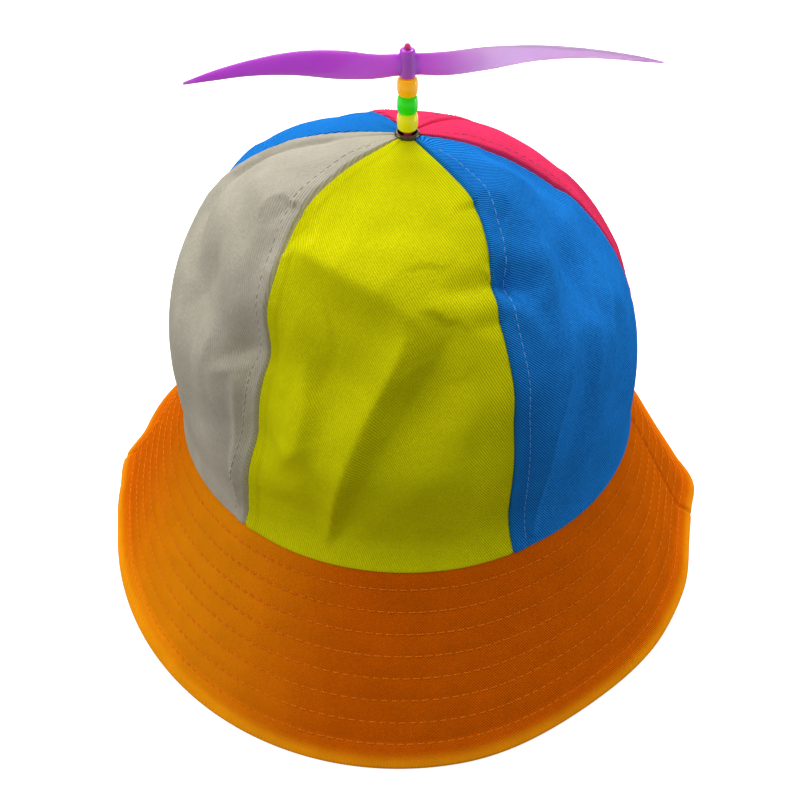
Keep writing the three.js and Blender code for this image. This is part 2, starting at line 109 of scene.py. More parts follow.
# Panels: the azimuths of their two seams, their cloth, and what lies along each seam: nothing, the raised
# band of the allowance, or that band with a row of topstitching.
PLAIN, BAND, STITCHED = range(3)
PANELS = [
    ("gore_front_yellow", -FRONT_SEAM, FRONT_SEAM, "yellow_twill", BAND, PLAIN),
    ("gore_right_blue", FRONT_SEAM, 95.5, "blue_twill", STITCHED, PLAIN),
    ("gore_right_back_red", 95.5, 150, "red_twill", STITCHED, PLAIN),
    ("gore_back_red", 150, 210, "red_twill", STITCHED, STITCHED),
    ("gore_left_back_blue", 210, 263.5, "blue_twill", PLAIN, PLAIN),
    ("gore_left_grey", -96.5, -FRONT_SEAM, "grey_twill", BAND, STITCHED),
]

# Creases: the roundness of the line, then its points: azimuth, distance up the cloth, reach on the left hand
# and on the right hand of the way it runs, and height, which is negative for a valley.
CREASES = [
    ("left front seam dent", 0.8, [(-31, 42, 25, 25, -9.5), (-32, 68, 25, 25, -9.5)]),
    ("right front seam dent", 0.8, [(32, 18, 18, 18, -2.5), (32, 56, 18, 18, -2.5)]),
    ("front ledge", 0.1, [(-33, 112, 22, 10, 0.0), (-29, 111, 26, 11, 2.2), (-24, 110, 30, 11, 4.6),
                          (-13, 107, 36, 12, 6.4), (0, 102, 36, 12, 6.0), (9, 96, 28, 10, 3.4),
                          (14, 91, 14, 8, 0.6)]),
    ("front hollow", 0.3, [(-24, 80, 26, 32, -4.0), (-12, 74, 32, 34, -8.4), (2, 69, 30, 32, -7.0),
                           (12, 66, 24, 28, -3.4)]),
    ("slanting ridge", 0.05, [(-9.8, 8, 6, 2.2, 1.0), (-6.8, 31, 11, 4.5, 3.2), (-3.8, 50, 15, 7, 4.8),
                              (0.2, 67.5, 17, 10, 6.2), (4, 78, 16, 11, 5.6), (7.5, 89, 12, 10, 2.8)]),
    ("slanting valley", 0.08, [(-9, 8, 2, 5, -0.7), (-4, 30, 5, 14, -2.4), (1, 46, 8, 20, -3.4),
                               (7.5, 62, 11, 22, -5.8), (13.5, 77, 13, 18, -6.0), (17, 88, 11, 12, -2.2)]),
    ("ridge fork", 0.3, [(-8, 56, 9, 7, 0.3), (-1, 64, 11, 7, 1.0)]),
    ("right ridge", 0.5, [(8, 60, 18, 14, 1.0), (26, 64, 18, 14, 1.8)]),
    ("upper wrinkle", 0.15, [(17, 103.5, 7, 7, -0.5), (24, 104, 9, 8, -1.7), (30, 104.5, 9, 8, -1.8),
                             (34.5, 105, 8, 8, -1.0)]),
    ("lower wrinkle", 0.15, [(25, 92, 4, 5, -0.5), (29, 92, 5, 5, -1.2), (32.5, 92.5, 5, 6, -0.8)]),
    ("upper soft band", 0.5, [(-18, 119, 8, 8, -0.3), (0, 123, 8, 8, -0.6), (18, 124, 8, 8, -0.4)]),
    ("left bulge", 0.12, [(-22, 36, 12, 7, 0.8), (-15.5, 50, 18, 8, 3.0), (-15, 64, 20, 9, 3.4),
                          (-18, 76, 16, 9, 1.8), (-23, 86, 12, 8, 0.5)]),
    ("left dimple", 0.4, [(-22, 60, 7, 7, -0.9), (-21, 50, 7, 7, -0.9)]),
    ("left low hollow", 0.5, [(-29, 18, 16, 9, -1.4), (-15, 16, 14, 9, -1.0)]),
    ("grey shoulder", 0.3, [(-82, 124, 24, 16, 1.0), (-66, 120, 26, 16, 3.4), (-52, 118, 24, 15, 3.4),
                            (-45, 117, 14, 12, 1.0)]),
    ("grey wall hollow", 0.5, [(-78, 84, 22, 22, -2.4), (-60, 78, 32, 26, -6.2), (-46, 76, 30, 24, -4.6)]),
    ("grey valley", 0.5, [(-41, 104, 10, 10, -1.2), (-38, 82, 11, 9, -1.8), (-38, 66, 10, 9, -1.2)]),
    ("grey crest", 0.1, [(-43, 58.5, 4, 5, 0.5), (-40.5, 60.5, 5, 6, 1.5), (-36.5, 64, 5, 6, 1.2)]),
    ("grey dimple", 0.3, [(-42, 65, 6, 4, -0.8), (-39.5, 68, 8, 4, -1.8), (-37, 71, 7, 4, -0.8)]),
    ("grey low ridge", 0.08, [(-34.3, 8, 3, 4, 0.6), (-35.2, 22, 4, 5, 1.7), (-36.6, 40, 4, 6, 2.0),
                              (-38, 58, 4, 6, 1.2)]),
    ("grey low valley", 0.1, [(-36, 14, 4, 2, -0.4), (-38.5, 33, 7, 3, -1.7), (-44, 45, 6, 4, -1.3),
                              (-47.5, 64, 4, 3, -0.3)]),
    ("grey upright fold", 0.08, [(-46.3, 55, 2.5, 2.5, 0.3), (-47, 61, 3, 3, 1.0), (-48, 68, 2.5, 2.5, 0.3)]),
    ("grey side fold", 0.08, [(-49, 44, 2.5, 2.5, 0.3), (-50.5, 54, 3, 3, 1.0), (-52.3, 65, 2.5, 2.5, 0.3)]),
    ("grey soft fold", 0.8, [(-50, 34, 12, 12, -2.0), (-60, 84, 12, 12, -2.0)]),
    ("left side hollow", 0.25, [(-70, 78, 8, 9, -0.8), (-82, 90, 8, 10, -2.0), (-89, 104, 7, 11, -2.8),
                               (-90, 122, 7, 11, -2.6), (-84, 142, 7, 9, -1.2)]),
    ("blue shoulder", 0.3, [(42, 126, 12, 12, 0.8), (52, 129, 20, 18, 3.4), (68, 130, 20, 18, 3.2),
                            (80, 132, 16, 14, 0.8)]),
    ("blue wall hollow", 0.6, [(46, 90, 24, 22, -2.6), (62, 90, 32, 26, -5.0), (78, 92, 24, 22, -2.4)]),
    ("blue high dent", 0.2, [(36, 110, 8, 7, -1.8), (38, 103, 14, 9, -5.6), (42.5, 100, 12, 8, -2.6)]),
    ("blue bulge", 0.3, [(37, 97, 6, 6, 0.6), (39.5, 90, 8, 8, 1.4), (42, 80, 7, 7, 0.6)]),
    ("blue ridge", 0.15, [(46, 80, 11, 7, 0.9), (50, 95, 13, 8, 2.6), (52.5, 104, 14, 9, 2.8),
                          (57, 114, 13, 9, 1.6)]),
    ("blue high valley", 0.25, [(58, 86, 6, 12, -0.8), (63, 97, 7, 16, -2.4), (69, 108, 8, 16, -2.2),
                                (77, 117, 8, 12, -0.8)]),
    ("blue sharp crease", 0.05, [(37, 6, 5, 4, 1.2), (38, 27, 6, 5, 2.6), (40.2, 51, 7, 6, 3.2),
                                 (45.7, 69.5, 7, 6, 2.6), (50.8, 80, 5, 5, 0.8)]),
    ("blue low valley", 0.4, [(43, 16, 7, 10, -0.8), (47, 44, 8, 12, -1.8), (53, 72, 8, 11, -1.2)]),
    ("blue upright fold", 0.12, [(53, 54, 5, 4, 0.4), (56, 66, 6, 4, 1.7), (60, 75, 6, 4, 1.7),
                                 (66, 86, 5, 4, 0.5)]),
    ("blue side fold", 0.12, [(60, 58, 5, 4, 0.4), (65.5, 69, 5, 4, 1.5), (72.5, 77, 5, 4, 0.8)]),
    ("blue soft valley", 0.6, [(64, 40, 12, 12, -1.6), (70, 66, 12, 12, -1.6)]),
    ("right side hollow", 0.4, [(88, 110, 9, 8, -2.2), (87, 136, 8, 8, -1.6)]),
    ("back sag", 0.7, [(160, 92, 18, 18, -3.0), (202, 98, 18, 18, -3.0)]),
    ("back wrinkle", 0.15, [(162, 34, 9, 7, 0.5), (170, 52, 11, 7, 1.9), (181, 72, 12, 8, 2.1),
                            (192, 88, 10, 7, 0.6)]),
    ("back crease", 0.2, [(203, 40, 8, 8, -0.5), (199, 62, 9, 9, -1.6), (197, 84, 8, 8, -0.6)]),
    ("right back fold", 0.15, [(113, 20, 7, 10, -1.4), (117, 46, 8, 11, -3.6), (125, 84, 9, 12, -3.2),
                               (132, 108, 8, 10, -1.0)]),
    ("right back ridge", 0.15, [(104, 42, 8, 7, 0.6), (107, 64, 9, 7, 1.9), (113, 98, 9, 7, 1.0)]),
    ("left back fold", 0.15, [(249, 20, 10, 7, -1.4), (245, 46, 11, 8, -3.6), (235, 86, 12, 9, -3.2),
                              (228, 108, 10, 8, -1.0)]),
    ("left back ridge", 0.15, [(257, 44, 7, 8, 0.6), (254, 66, 7, 9, 1.9), (248, 98, 7, 9, 1.0)]),
]


def wrapped(azimuth):
    """The same azimuth between -180 and 180."""
    return (np.asarray(azimuth) + 180.0) % 360.0 - 180.0


def oval_radius(azimuth, half_width, half_depth):
    """Distance from the axis to an oval at an azimuth."""
    turn = np.radians(azimuth)
    return 1.0 / np.hypot(np.sin(turn) / half_width, np.cos(turn) / half_depth)


def eased(low, high, value):
    """0 below low, 1 above high, and a smooth climb between."""
    share = np.clip((value - low) / (high - low), 0.0, 1.0)
    return share * share * (3.0 - 2.0 * share)


def bell(distance):
    """1 in the middle, falling smoothly to 0 at distance 1."""
    return np.where(np.abs(distance) < 1.0, np.cos(np.pi / 2 * np.clip(distance, -1, 1)) ** 2, 0.0)


def crowded(even, amount):
    """Even shares moved closer together towards both ends."""
    return even - amount * np.sin(2.0 * np.pi * even) / (2.0 * np.pi)


def around_axis(azimuth, radius, height):
    """Points at azimuths, distances from the axis and heights."""
    turn = np.radians(azimuth)
    return np.stack(np.broadcast_arrays(radius * np.sin(turn), -radius * np.cos(turn), height), -1)


def lumps(points, height, size):
    """Soft lumps of a height and size at each point."""
    return np.array([height * noise.noise(Vector(point) / size) for point in points])


def crown_line(azimuth):
    """The smooth crown's line at an azimuth: distance along the cloth, distance from the axis, and height."""
    at = float(wrapped(azimuth))
    (low, soft), (high, full) = next(pair for pair in zip(SHOULDERS, SHOULDERS[1:]) if at <= pair[1][0])
    power = soft + (full - soft) * float(eased(low, high, at))
    base = float(oval_radius(azimuth, CROWN_HALF_WIDTH, CROWN_HALF_DEPTH))
    top = (1.0 - (CROWN_HOLE_RADIUS / base) ** 2) ** (1.0 / power)
    share = top * (1.0 - (1.0 - np.linspace(0.0, 1.0, LINE_SAMPLES)) ** 2)
    radius = base * np.sqrt(1.0 - share ** power)
    height = CROWN_HEIGHT * share
    steps = np.hypot(np.diff(radius), np.diff(height))
    return np.concatenate(([0.0], np.cumsum(steps))), radius, height


def seam_azimuth(seam, up):
    """Azimuth of a seam at a distance up the cloth."""
    spread = SEAM_SPREAD if abs(seam) == FRONT_SEAM else 0.0
    return seam + math.copysign(spread, seam) * eased(SPREAD_START, SPREAD_END, up)


def line_places(azimuth, up):
    """Places on one line: distance from the axis, height, the two parts of the way out, the line's length."""
    along, radius, height = crown_line(azimuth)
    length = np.full(along.shape, along[-1])
    rows = (radius, height, np.gradient(height, along), -np.gradient(radius, along), length)
    return np.stack([np.interp(up, along, row) for row in rows])


def crease_lift(azimuth, up, roundness, path):
    """How far one crease moves the cloth. The cloth is unrolled round the middle of the crease."""
    middle = path[len(path) // 2]
    along, radius, _ = crown_line(middle[0])
    unroll = math.radians(1.0) * float(np.interp(middle[1], along, radius))
    across = wrapped(azimuth - middle[0]) * unroll
    nearest = np.full(np.shape(up), np.inf)
    lift = np.zeros(np.shape(up))
    for start, end in zip(path, path[1:]):
        run_x = (end[0] - start[0]) * unroll
        run_y = end[1] - start[1]
        length = math.hypot(run_x, run_y)
        x = across - (start[0] - middle[0]) * unroll
        y = up - start[1]
        share = np.clip((x * run_x + y * run_y) / length ** 2, 0.0, 1.0)
        off_x = x - share * run_x
        off_y = y - share * run_y
        off = np.hypot(off_x, off_y) + 1e-6
        left_hand = 0.5 + 0.5 * (run_x * off_y - run_y * off_x) / (length * off)
        left, right, height = (start[k] + (end[k] - start[k]) * share for k in (2, 3, 4))
        distance = off / (right + (left - right) * left_hand)
        slope = (np.hypot(distance, roundness) - roundness) / (math.hypot(1.0, roundness) - roundness)
        lift = np.where(distance < nearest, height * np.clip(1.0 - slope, 0.0, 1.0) ** 2, lift)
        nearest = np.minimum(nearest, distance)
    return lift


def seam_relief(distance, up, finish):
    """Height of the cloth beside a seam: the pulled-in seam, its allowance's band and the stitched groove."""
    depth = SEAM_DEPTH * (SEAM_EDGE_SHARE + (1.0 - SEAM_EDGE_SHARE) * eased(0.0, SEAM_EDGE_REACH, up))
    relief = -depth * np.exp(-(distance / SEAM_REACH) ** 2)
    if finish >= BAND:
        relief += BAND_RISE * eased(*BAND_START, distance) * (1.0 - eased(*BAND_END, distance))
    if finish == STITCHED:
        pull = 1.0 - STITCH_PULL + STITCH_PULL * np.cos(2.0 * np.pi * up / CROWN_STITCH_PITCH)
        relief -= STITCH_GROOVE * pull * np.exp(-((distance - BAND_WIDTH) / STITCH_GROOVE_REACH) ** 2)
    return relief


def band_room(width):
    """Share of its full width that a band has on a panel that is this wide."""
    return np.clip(width / FULL_BAND_PANEL, NARROWEST_BAND, 1.0)


def cloth_lift(panel, azimuth, up, radius, length):
    """How far the cloth of a panel stands out of the smooth crown."""
    first, last = (seam_azimuth(seam, up) for seam in panel[1:3])
    first_finish, last_finish = panel[4:]
    side = (azimuth - first) / (last - first)
    lift = PANEL_FULLNESS * np.sin(np.pi * side) * np.sin(np.pi * np.clip(up / length, 0.0, 1.0))
    flare = EDGE_FLARE * np.clip(1.0 - up / EDGE_FLARE_REACH, 0.0, 1.0) ** 2
    hollow = EDGE_HOLLOW * (1.0 - eased(EDGE_FLARE_REACH, EDGE_HOLLOW_TOP, up))
    front = eased(*FRONT_COSINES, np.cos(np.radians(azimuth)))
    lift += (flare - hollow) * (SIDE_FLARE_SHARE + (1.0 - SIDE_FLARE_SHARE) * front)
    for _, roundness, path in CREASES:
        lift += crease_lift(azimuth, up, roundness, path)
    width = np.radians(last - first) * radius
    room = band_room(width)
    lift += seam_relief(side * width / room, up, first_finish)
    lift += seam_relief((1.0 - side) * width / room, up, last_finish)
    return lift


def lay_grid(columns, rows):
    """A flat grid of cloth, and the column and row of each of its vertices."""
    mesh = bmesh.new()
    bmesh.ops.create_grid(mesh, x_segments=columns, y_segments=rows, size=0.5)
    mesh.verts.ensure_lookup_table()
    flat = np.array([vert.co[:2] for vert in mesh.verts]) + 0.5
    places = np.rint(flat * (columns, rows)).astype(int)
    return mesh, places[:, 0], places[:, 1]


def move_to(mesh, points):
    """Moves a grid's vertices to their places."""
    for vert, point in zip(mesh.verts, points):
        vert.co = point


def measure_cloth(mesh, flat):
    """Writes the places of the vertices on the flat cloth, in centimetres, as the UV map."""
    layer = mesh.loops.layers.uv.new("cloth")
    for face in mesh.faces:
        for loop in face.loops:
            loop[layer].uv = flat[loop.vert.index] / 10.0


def mark_cloth(mesh, name, amounts):
    """Writes an amount for each vertex, which the cloth's material reads by name."""
    layer = mesh.verts.layers.float.new(name)
    for vert, amount in zip(mesh.verts, amounts):
        vert[layer] = amount


def finished(mesh, name, material):
    """The finished piece: its mesh in metres, shaded smooth, with its material."""
    bmesh.ops.scale(mesh, vec=(MM, MM, MM), verts=mesh.verts)
    data = bpy.data.meshes.new(name)
    mesh.to_mesh(data)
    mesh.free()
    data.shade_smooth()
    data.materials.append(material)
    piece = bpy.data.objects.new(name, data)
    bpy.context.scene.collection.objects.link(piece)
    return piece


def crown_places(panel, azimuth, up, lift=0.0):
    """Points of a panel's outer face, and the ways out of it, at azimuths and distances up the cloth."""
    azimuth, up = np.broadcast_arrays(np.asarray(azimuth, float), np.asarray(up, float))
    places = np.empty((5, *azimuth.shape))
    degrees = np.floor(azimuth)
    for degree in np.unique(degrees):
        here = degrees == degree
        before = line_places(degree, up[here])
        after = line_places(degree + 1.0, up[here])
        places[:, here] = before + (after - before) * (azimuth[here] - degree)
    radius, height, outward, upward, length = places
    out = cloth_lift(panel, azimuth, up, radius, length) + lift
    points = around_axis(azimuth, radius + out * outward, SEWN_EDGE_HEIGHT + height + out * upward)
    return points, around_axis(azimuth, outward, upward), radius


def set_sockets(node, **values):
    """Sets a node's sockets by their names, with an underscore for each space."""
    for name, value in values.items():
        node.inputs[name.replace("_", " ")].default_value = value
    return node


def new_material(name, **values):
    """A new material, its node tree, and its shader with the sockets that are the same all over."""
    material = bpy.data.materials.new(name)
    material.use_nodes = True
    tree = material.node_tree
    return material, tree, set_sockets(tree.nodes["Principled BSDF"], **values)


def add_node(tree, kind, **values):
    """A new shader node of a kind, with its sockets set."""
    return set_sockets(tree.nodes.new("ShaderNode" + kind), **values)


def noise_on_piece(tree, **values):
    """A noise that stays in its place on the piece."""
    place = add_node(tree, "TexCoord")
    grain = add_node(tree, "TexNoise", **values)
    tree.links.new(place.outputs["Object"], grain.inputs["Vector"])
    return grain.outputs["Fac"]


def marked(tree, name):
    """The amounts that a mesh's vertices carry under a name."""
    attribute = add_node(tree, "Attribute")
    attribute.attribute_name = name
    return attribute.outputs["Fac"]


def ranged(tree, value, **limits):
    """A value brought from its own limits to others."""
    scale = add_node(tree, "MapRange", **limits)
    tree.links.new(value, scale.inputs["Value"])
    return scale.outputs["Result"]


def colour_mix(tree, factor, first, second):
    """A mix of two colours, each a fixed one or the result of a node."""
    mix = add_node(tree, "Mix")
    mix.data_type = "RGBA"
    tree.links.new(factor, mix.inputs["Factor"])
    for name, colour in (("A", first), ("B", second)):
        if isinstance(colour, tuple):
            mix.inputs[name].default_value = (*colour, 1.0)
        else:
            tree.links.new(colour, mix.inputs[name])
    return mix.outputs["Result"]


def raise_surface(tree, shader, height, strength, distance):
    """Fine relief on the surface."""
    bump = add_node(tree, "Bump", Strength=strength, Distance=distance)
    tree.links.new(height, bump.inputs["Height"])
    tree.links.new(bump.outputs["Normal"], shader.inputs["Normal"])


def twill_cloth(name, crest, hollow, rib_angle, rib_share, relief, mottle, painted_light_colour=None):
    """Cotton twill: slanting ribs of fine yarn on the cloth's own measure, with uneven dye and a soft nap.
    The ribs show most where the cloth is pressed, and a lighter colour is mixed in as painted light where the
    mesh marks it."""
    material, tree, shader = new_material(name, Roughness=1.0, Specular_IOR_Level=0.0)
    link = tree.links.new
    cloth = add_node(tree, "UVMap")
    cloth.uv_map = "cloth"
    slant = add_node(tree, "Mapping", Rotation=(0.0, 0.0, math.radians(rib_angle - 90.0)))
    link(cloth.outputs["UV"], slant.inputs["Vector"])
    wave = math.pi / 10.0 / RIB_PITCH
    ribs = add_node(tree, "TexWave", Scale=wave, Distortion=0.6, Detail=1.0, Detail_Scale=1.2)
    link(slant.outputs["Vector"], ribs.inputs["Vector"])
    pressed_share = min(1.0, rib_share * PRESSED_RIBS)
    ribbed = ranged(tree, marked(tree, "pressed"), To_Min=rib_share, To_Max=pressed_share)
    napped = add_node(tree, "Mix")
    link(ribbed, napped.inputs["Factor"])
    link(noise_on_piece(tree, Scale=900.0, Detail=3.0), napped.inputs["A"])
    link(ribs.outputs["Fac"], napped.inputs["B"])
    yarn = napped.outputs["Result"]

    colour = colour_mix(tree, yarn, hollow, crest)
    # Painted light: a lighter colour mixed in where the mesh marks it.
    if painted_light_colour:
        colour = colour_mix(tree, marked(tree, "painted_light"), colour, painted_light_colour)
    patches = noise_on_piece(tree, Scale=90.0, Detail=5.0)
    shade = ranged(tree, patches, From_Min=0.3, From_Max=0.7, To_Min=1.0 - mottle, To_Max=1.0 + mottle)
    uneven = add_node(tree, "Mix")
    uneven.data_type = "RGBA"
    uneven.blend_type = "MULTIPLY"
    uneven.inputs["Factor"].default_value = 1.0
    link(colour, uneven.inputs["A"])
    link(shade, uneven.inputs["B"])
    link(uneven.outputs["Result"], shader.inputs["Base Color"])
    raise_surface(tree, shader, yarn, strength=relief, distance=0.0003)
    return material


# Pitch of the twill's ribs on the flat cloth, in centimetres, how much more they show where the cloth is
# pressed, and how far from a seam that is, in millimetres.
RIB_PITCH = 0.072
PRESSED_RIBS = 1.8
PRESSED_REACH = 18.0

# Each twill's colours on the ribs and between them, the ribs' slant in degrees and their share in the colour,
# their relief, and how uneven the dye is.
DYED_TWILLS = [
    ("yellow_twill", (0.90, 0.89, 0.004), (0.54, 0.52, 0.003), 56, 0.5, 0.8, 0.04),
    ("blue_twill", (0.030, 0.37, 0.96), (0.002, 0.075, 0.47), 55, 0.5, 1.0, 0.06),
    ("red_twill", (0.95, 0.058, 0.17), (0.72, 0.024, 0.092), 60, 0.5, 0.5, 0.05),
    ("grey_twill", (0.61, 0.575, 0.46), (0.39, 0.355, 0.28), 56, 0.3, 0.7, 0.07),
]
TWILLS = {finish[0]: twill_cloth(*finish) for finish in DYED_TWILLS}

for panel in PANELS:
    name, first, last, cloth_slot, _, _ = panel
    mesh, column, row = lay_grid(PANEL_COLUMNS, PANEL_ROWS)
    side = crowded(np.linspace(0.0, 1.0, PANEL_COLUMNS + 1), SEAM_CROWDING)
    length = np.array([crown_line(first + (last - first) * share)[0][-1] for share in side])[column]
    side = side[column]
    climb = np.clip((row - EDGE_ROLL_ROWS) / (PANEL_ROWS - EDGE_ROLL_ROWS), 0.0, 1.0)
    under = np.clip(1.0 - row / EDGE_ROLL_ROWS, 0.0, 1.0) * np.pi / 2
    above_roll = EDGE_ROLL + (length - EDGE_ROLL) * climb
    up = np.where(row < EDGE_ROLL_ROWS, EDGE_ROLL * (1.0 - np.sin(under)), above_roll)
    start = seam_azimuth(first, up)
    span = seam_azimuth(last, up) - start
    azimuth = start + span * side
    points, ways, radius = crown_places(panel, azimuth, up)
    from_seam = np.minimum(side, 1.0 - side) * np.radians(span) * radius
    below_top = eased(0.0, TOP_STILL, length - up)
    wear = lumps(points, *BROAD_WEAR) + lumps(points, *FINE_WEAR)
    wear = wear * bell(2.0 * side - 1.0) * eased(0.0, EDGE_STILL, up) * below_top
    puckers = lumps(points, *PUCKER) * np.exp(-(from_seam / PUCKER_REACH) ** 2)
    puckers = puckers * eased(0.0, PUCKER_START, from_seam) * below_top
    turned_in = EDGE_ROLL * (1.0 - np.cos(under))
    dropped = EDGE_DROP * (1.0 - eased(0.0, EDGE_DROP_REACH, up))
    move_to(mesh, points + ways * (wear + puckers)[:, None] - around_axis(azimuth, turned_in, dropped))
    measure_cloth(mesh, np.stack((np.radians(azimuth - (first + last) / 2) * radius, up), -1))
    mark_cloth(mesh, "pressed", np.maximum(0.0, 1.0 - from_seam / PRESSED_REACH))
    piece = finished(mesh, name + "_cloth", TWILLS[cloth_slot])
    wall = piece.modifiers.new("wall", "SOLIDIFY")
    wall.thickness = CLOTH_THICKNESS * MM
    wall.offset = -1.0
    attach(piece, "cap")
    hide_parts(name)

# The crown's topstitching: one row of cotton thread along the edge of each seam's band, sewn through the
# panel and the allowance under it. The thread nearly matches the cloth it is sewn on, and dips into a needle
# hole after each stitch.
CROWN_STITCH_START = 4.0
CROWN_UNSTITCHED = 11.0
CROWN_STITCH_SHARE = 0.68
CROWN_THREAD_WIDTH = 0.38
CROWN_THREAD_RISE = 0.2
THREAD_SIDES = 5
STITCH_STEPS = 6
THREAD_DIP = 0.7
THREAD_FLATNESS = 0.6
MERGE_DISTANCE = 0.0005


def stitch_lift(phase, share, rise):
    """Height of a thread's middle over the cloth at phases from needle hole to needle hole."""
    return np.where(phase < share, rise * (1.0 - np.abs(2.0 * phase / share - 1.0) ** 4), -THREAD_DIP)


def spun_thread(points, ways, width, closed):
    """A thread along points, as wide as width across the cloth, and flattened on it."""
    mesh, column, row = lay_grid(THREAD_SIDES, len(points) - 1)
    if closed:
        ahead = np.roll(points, -1, 0) - np.roll(points, 1, 0)
    else:
        ahead = np.gradient(points, axis=0)
    side = np.cross(ahead, ways)
    side = side / np.linalg.norm(side, axis=1)[:, None]
    angle = 2.0 * np.pi * column / THREAD_SIDES
    ends = np.ones(len(points))
    if not closed:
        ends[[0, -1]] = 0.0
    thick = (width / 2 * ends)[row][:, None]
    round_it = side[row] * np.cos(angle)[:, None] + ways[row] * THREAD_FLATNESS * np.sin(angle)[:, None]
    move_to(mesh, points[row] + round_it * thick)
    bmesh.ops.remove_doubles(mesh, verts=mesh.verts, dist=MERGE_DISTANCE)
    bmesh.ops.recalc_face_normals(mesh, faces=mesh.faces)
    return mesh


def sewing_thread(name, light, dark):
    """Spun cotton thread: a fine twist, lighter on the outside."""
    material, tree, shader = new_material(name, Roughness=0.8, Specular_IOR_Level=0.1)
    twist = noise_on_piece(tree, Scale=1800.0)
    tree.links.new(colour_mix(tree, twist, dark, light), shader.inputs["Base Color"])
    raise_surface(tree, shader, twist, strength=0.4, distance=0.0001)
    return material


CROWN_THREADS = {
    "grey_twill": sewing_thread("grey_thread", (0.60, 0.56, 0.46), (0.46, 0.42, 0.34)),
    "blue_twill": sewing_thread("blue_thread", (0.18, 0.50, 0.95), (0.06, 0.28, 0.76)),
    "red_twill": sewing_thread("red_thread", (0.80, 0.10, 0.20), (0.45, 0.02, 0.06)),
}

for panel in PANELS:
    name, first, last, cloth_slot, first_finish, last_finish = panel
    for seam, finish, inward, end in ((first, first_finish, 1, "first"), (last, last_finish, -1, "last")):
        if finish != STITCHED:
            continue
        along, line_radius, _ = crown_line(seam)
        stitches = int((along[-1] - CROWN_UNSTITCHED) / CROWN_STITCH_PITCH)
        phase = np.arange(stitches * STITCH_STEPS + 1) / STITCH_STEPS
        up = CROWN_STITCH_START + phase * CROWN_STITCH_PITCH
        radius = np.interp(up, along, line_radius)
        panel_width = np.radians(seam_azimuth(last, up) - seam_azimuth(first, up)) * radius
        from_seam = np.degrees(BAND_WIDTH * band_room(panel_width) / radius)
        lift = stitch_lift(phase % 1.0, CROWN_STITCH_SHARE, CROWN_THREAD_RISE)
        points, ways, _ = crown_places(panel, seam_azimuth(seam, up) + inward * from_seam, up, lift)
        mesh = spun_thread(points, ways, CROWN_THREAD_WIDTH, False)
        piece = finished(mesh, f"{name}_topstitch_{end}", CROWN_THREADS[cloth_slot])
        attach(piece, "cap")

# The brim's two halves: two layers of orange twill, turned at the rim, quilted together by eight rows of
# stitching and sewn to each other at the sides. Their upper allowance is turned up inside the crown, where
# they are sewn to it.
RIM_HALF_WIDTH = 122.0
RIM_HALF_DEPTH = 134.0
RIM_PRESSED = 0.25
BRIM_TOP_HEIGHT = 53.7
BRIM_FULL_WIDTH = 67.6
BRIM_THICKNESS = 2.3
HEM_WIDTH = 8.0
HEM_SLOPE = math.radians(37.0)
HEM_SOFTNESS = 0.05
SIDE_SEAM_DEPTH = 0.75
SIDE_SEAM_REACH = 1.2
JOIN_DEPTH = 0.6
JOIN_REACH = 0.07
ALLOWANCE_HEIGHT = 2.4
ALLOWANCE_INSET = 0.8
BRIM_STITCH_ROWS = 8
FIRST_ROW = 7.0
ROW_SPACING = 7.65
BRIM_STITCH_PITCH = 3.5
BRIM_STITCH_PULL = 0.2
QUILT_DEPTH = 0.26
QUILT_REACH = 1.6
QUILT_SHARPNESS = 1.4
QUILT_START = 0.05
RIPPLE = (0.3, 26.0)
RIPPLE_START = (0.03, 0.2)
RIPPLE_END = 0.12
FACE_COLUMNS = 92
RIM_COLUMNS = 8
TOP_COLUMNS = 6
BRIM_STEPS = 300
SIDE_CROWDING = 0.75
ROW_CROWDING = 2.2
ROW_CROWDING_REACH = 1.3
ROW_SAMPLES = 2001
BRIM_HALVES = [("brim_front", -90, 90), ("brim_back", 90, 270)]

# Painted light, as shares of the lighter painted colour: a painted highlight along the hem, less towards the
# back, from one cosine of the azimuth to another; a little at both sides; and a broad pool of painted light
# at the front on the left.
RIM_PAINTED_LIGHT = 0.95
RIM_PAINTED_LIGHT_START = 0.93
BACK_PAINTED_LIGHT_SHARE = 0.35
BACK_COSINES = (-0.5, 0.2)
SIDE_PAINTED_LIGHT = 0.06
SIDE_PAINTED_LIGHT_START = 0.55
LEFT_PAINTED_LIGHT = 0.7
LEFT_PAINTED_LIGHT_AZIMUTH = -40.0
LEFT_PAINTED_LIGHT_SPAN = 42.0

# Where the soft rim leaves its oval: azimuth, how far out it swells, and half its width in degrees.
RIM_SWELLS = [
    (-90, 2.7, 9), (-84, 2.0, 16), (-112, 4.4, 26), (38, -1.9, 22), (84, -1.8, 14), (99, 2.1, 8),
    (117, -4.3, 22),
]


def rim_radius(azimuth):
    """Distance from the axis to the rim: an oval with its swells."""
    radius = oval_radius(azimuth, RIM_HALF_WIDTH, RIM_HALF_DEPTH)
    for middle, swell, span in RIM_SWELLS:
        radius = radius + swell * bell(wrapped(azimuth - middle) / span)
    return radius


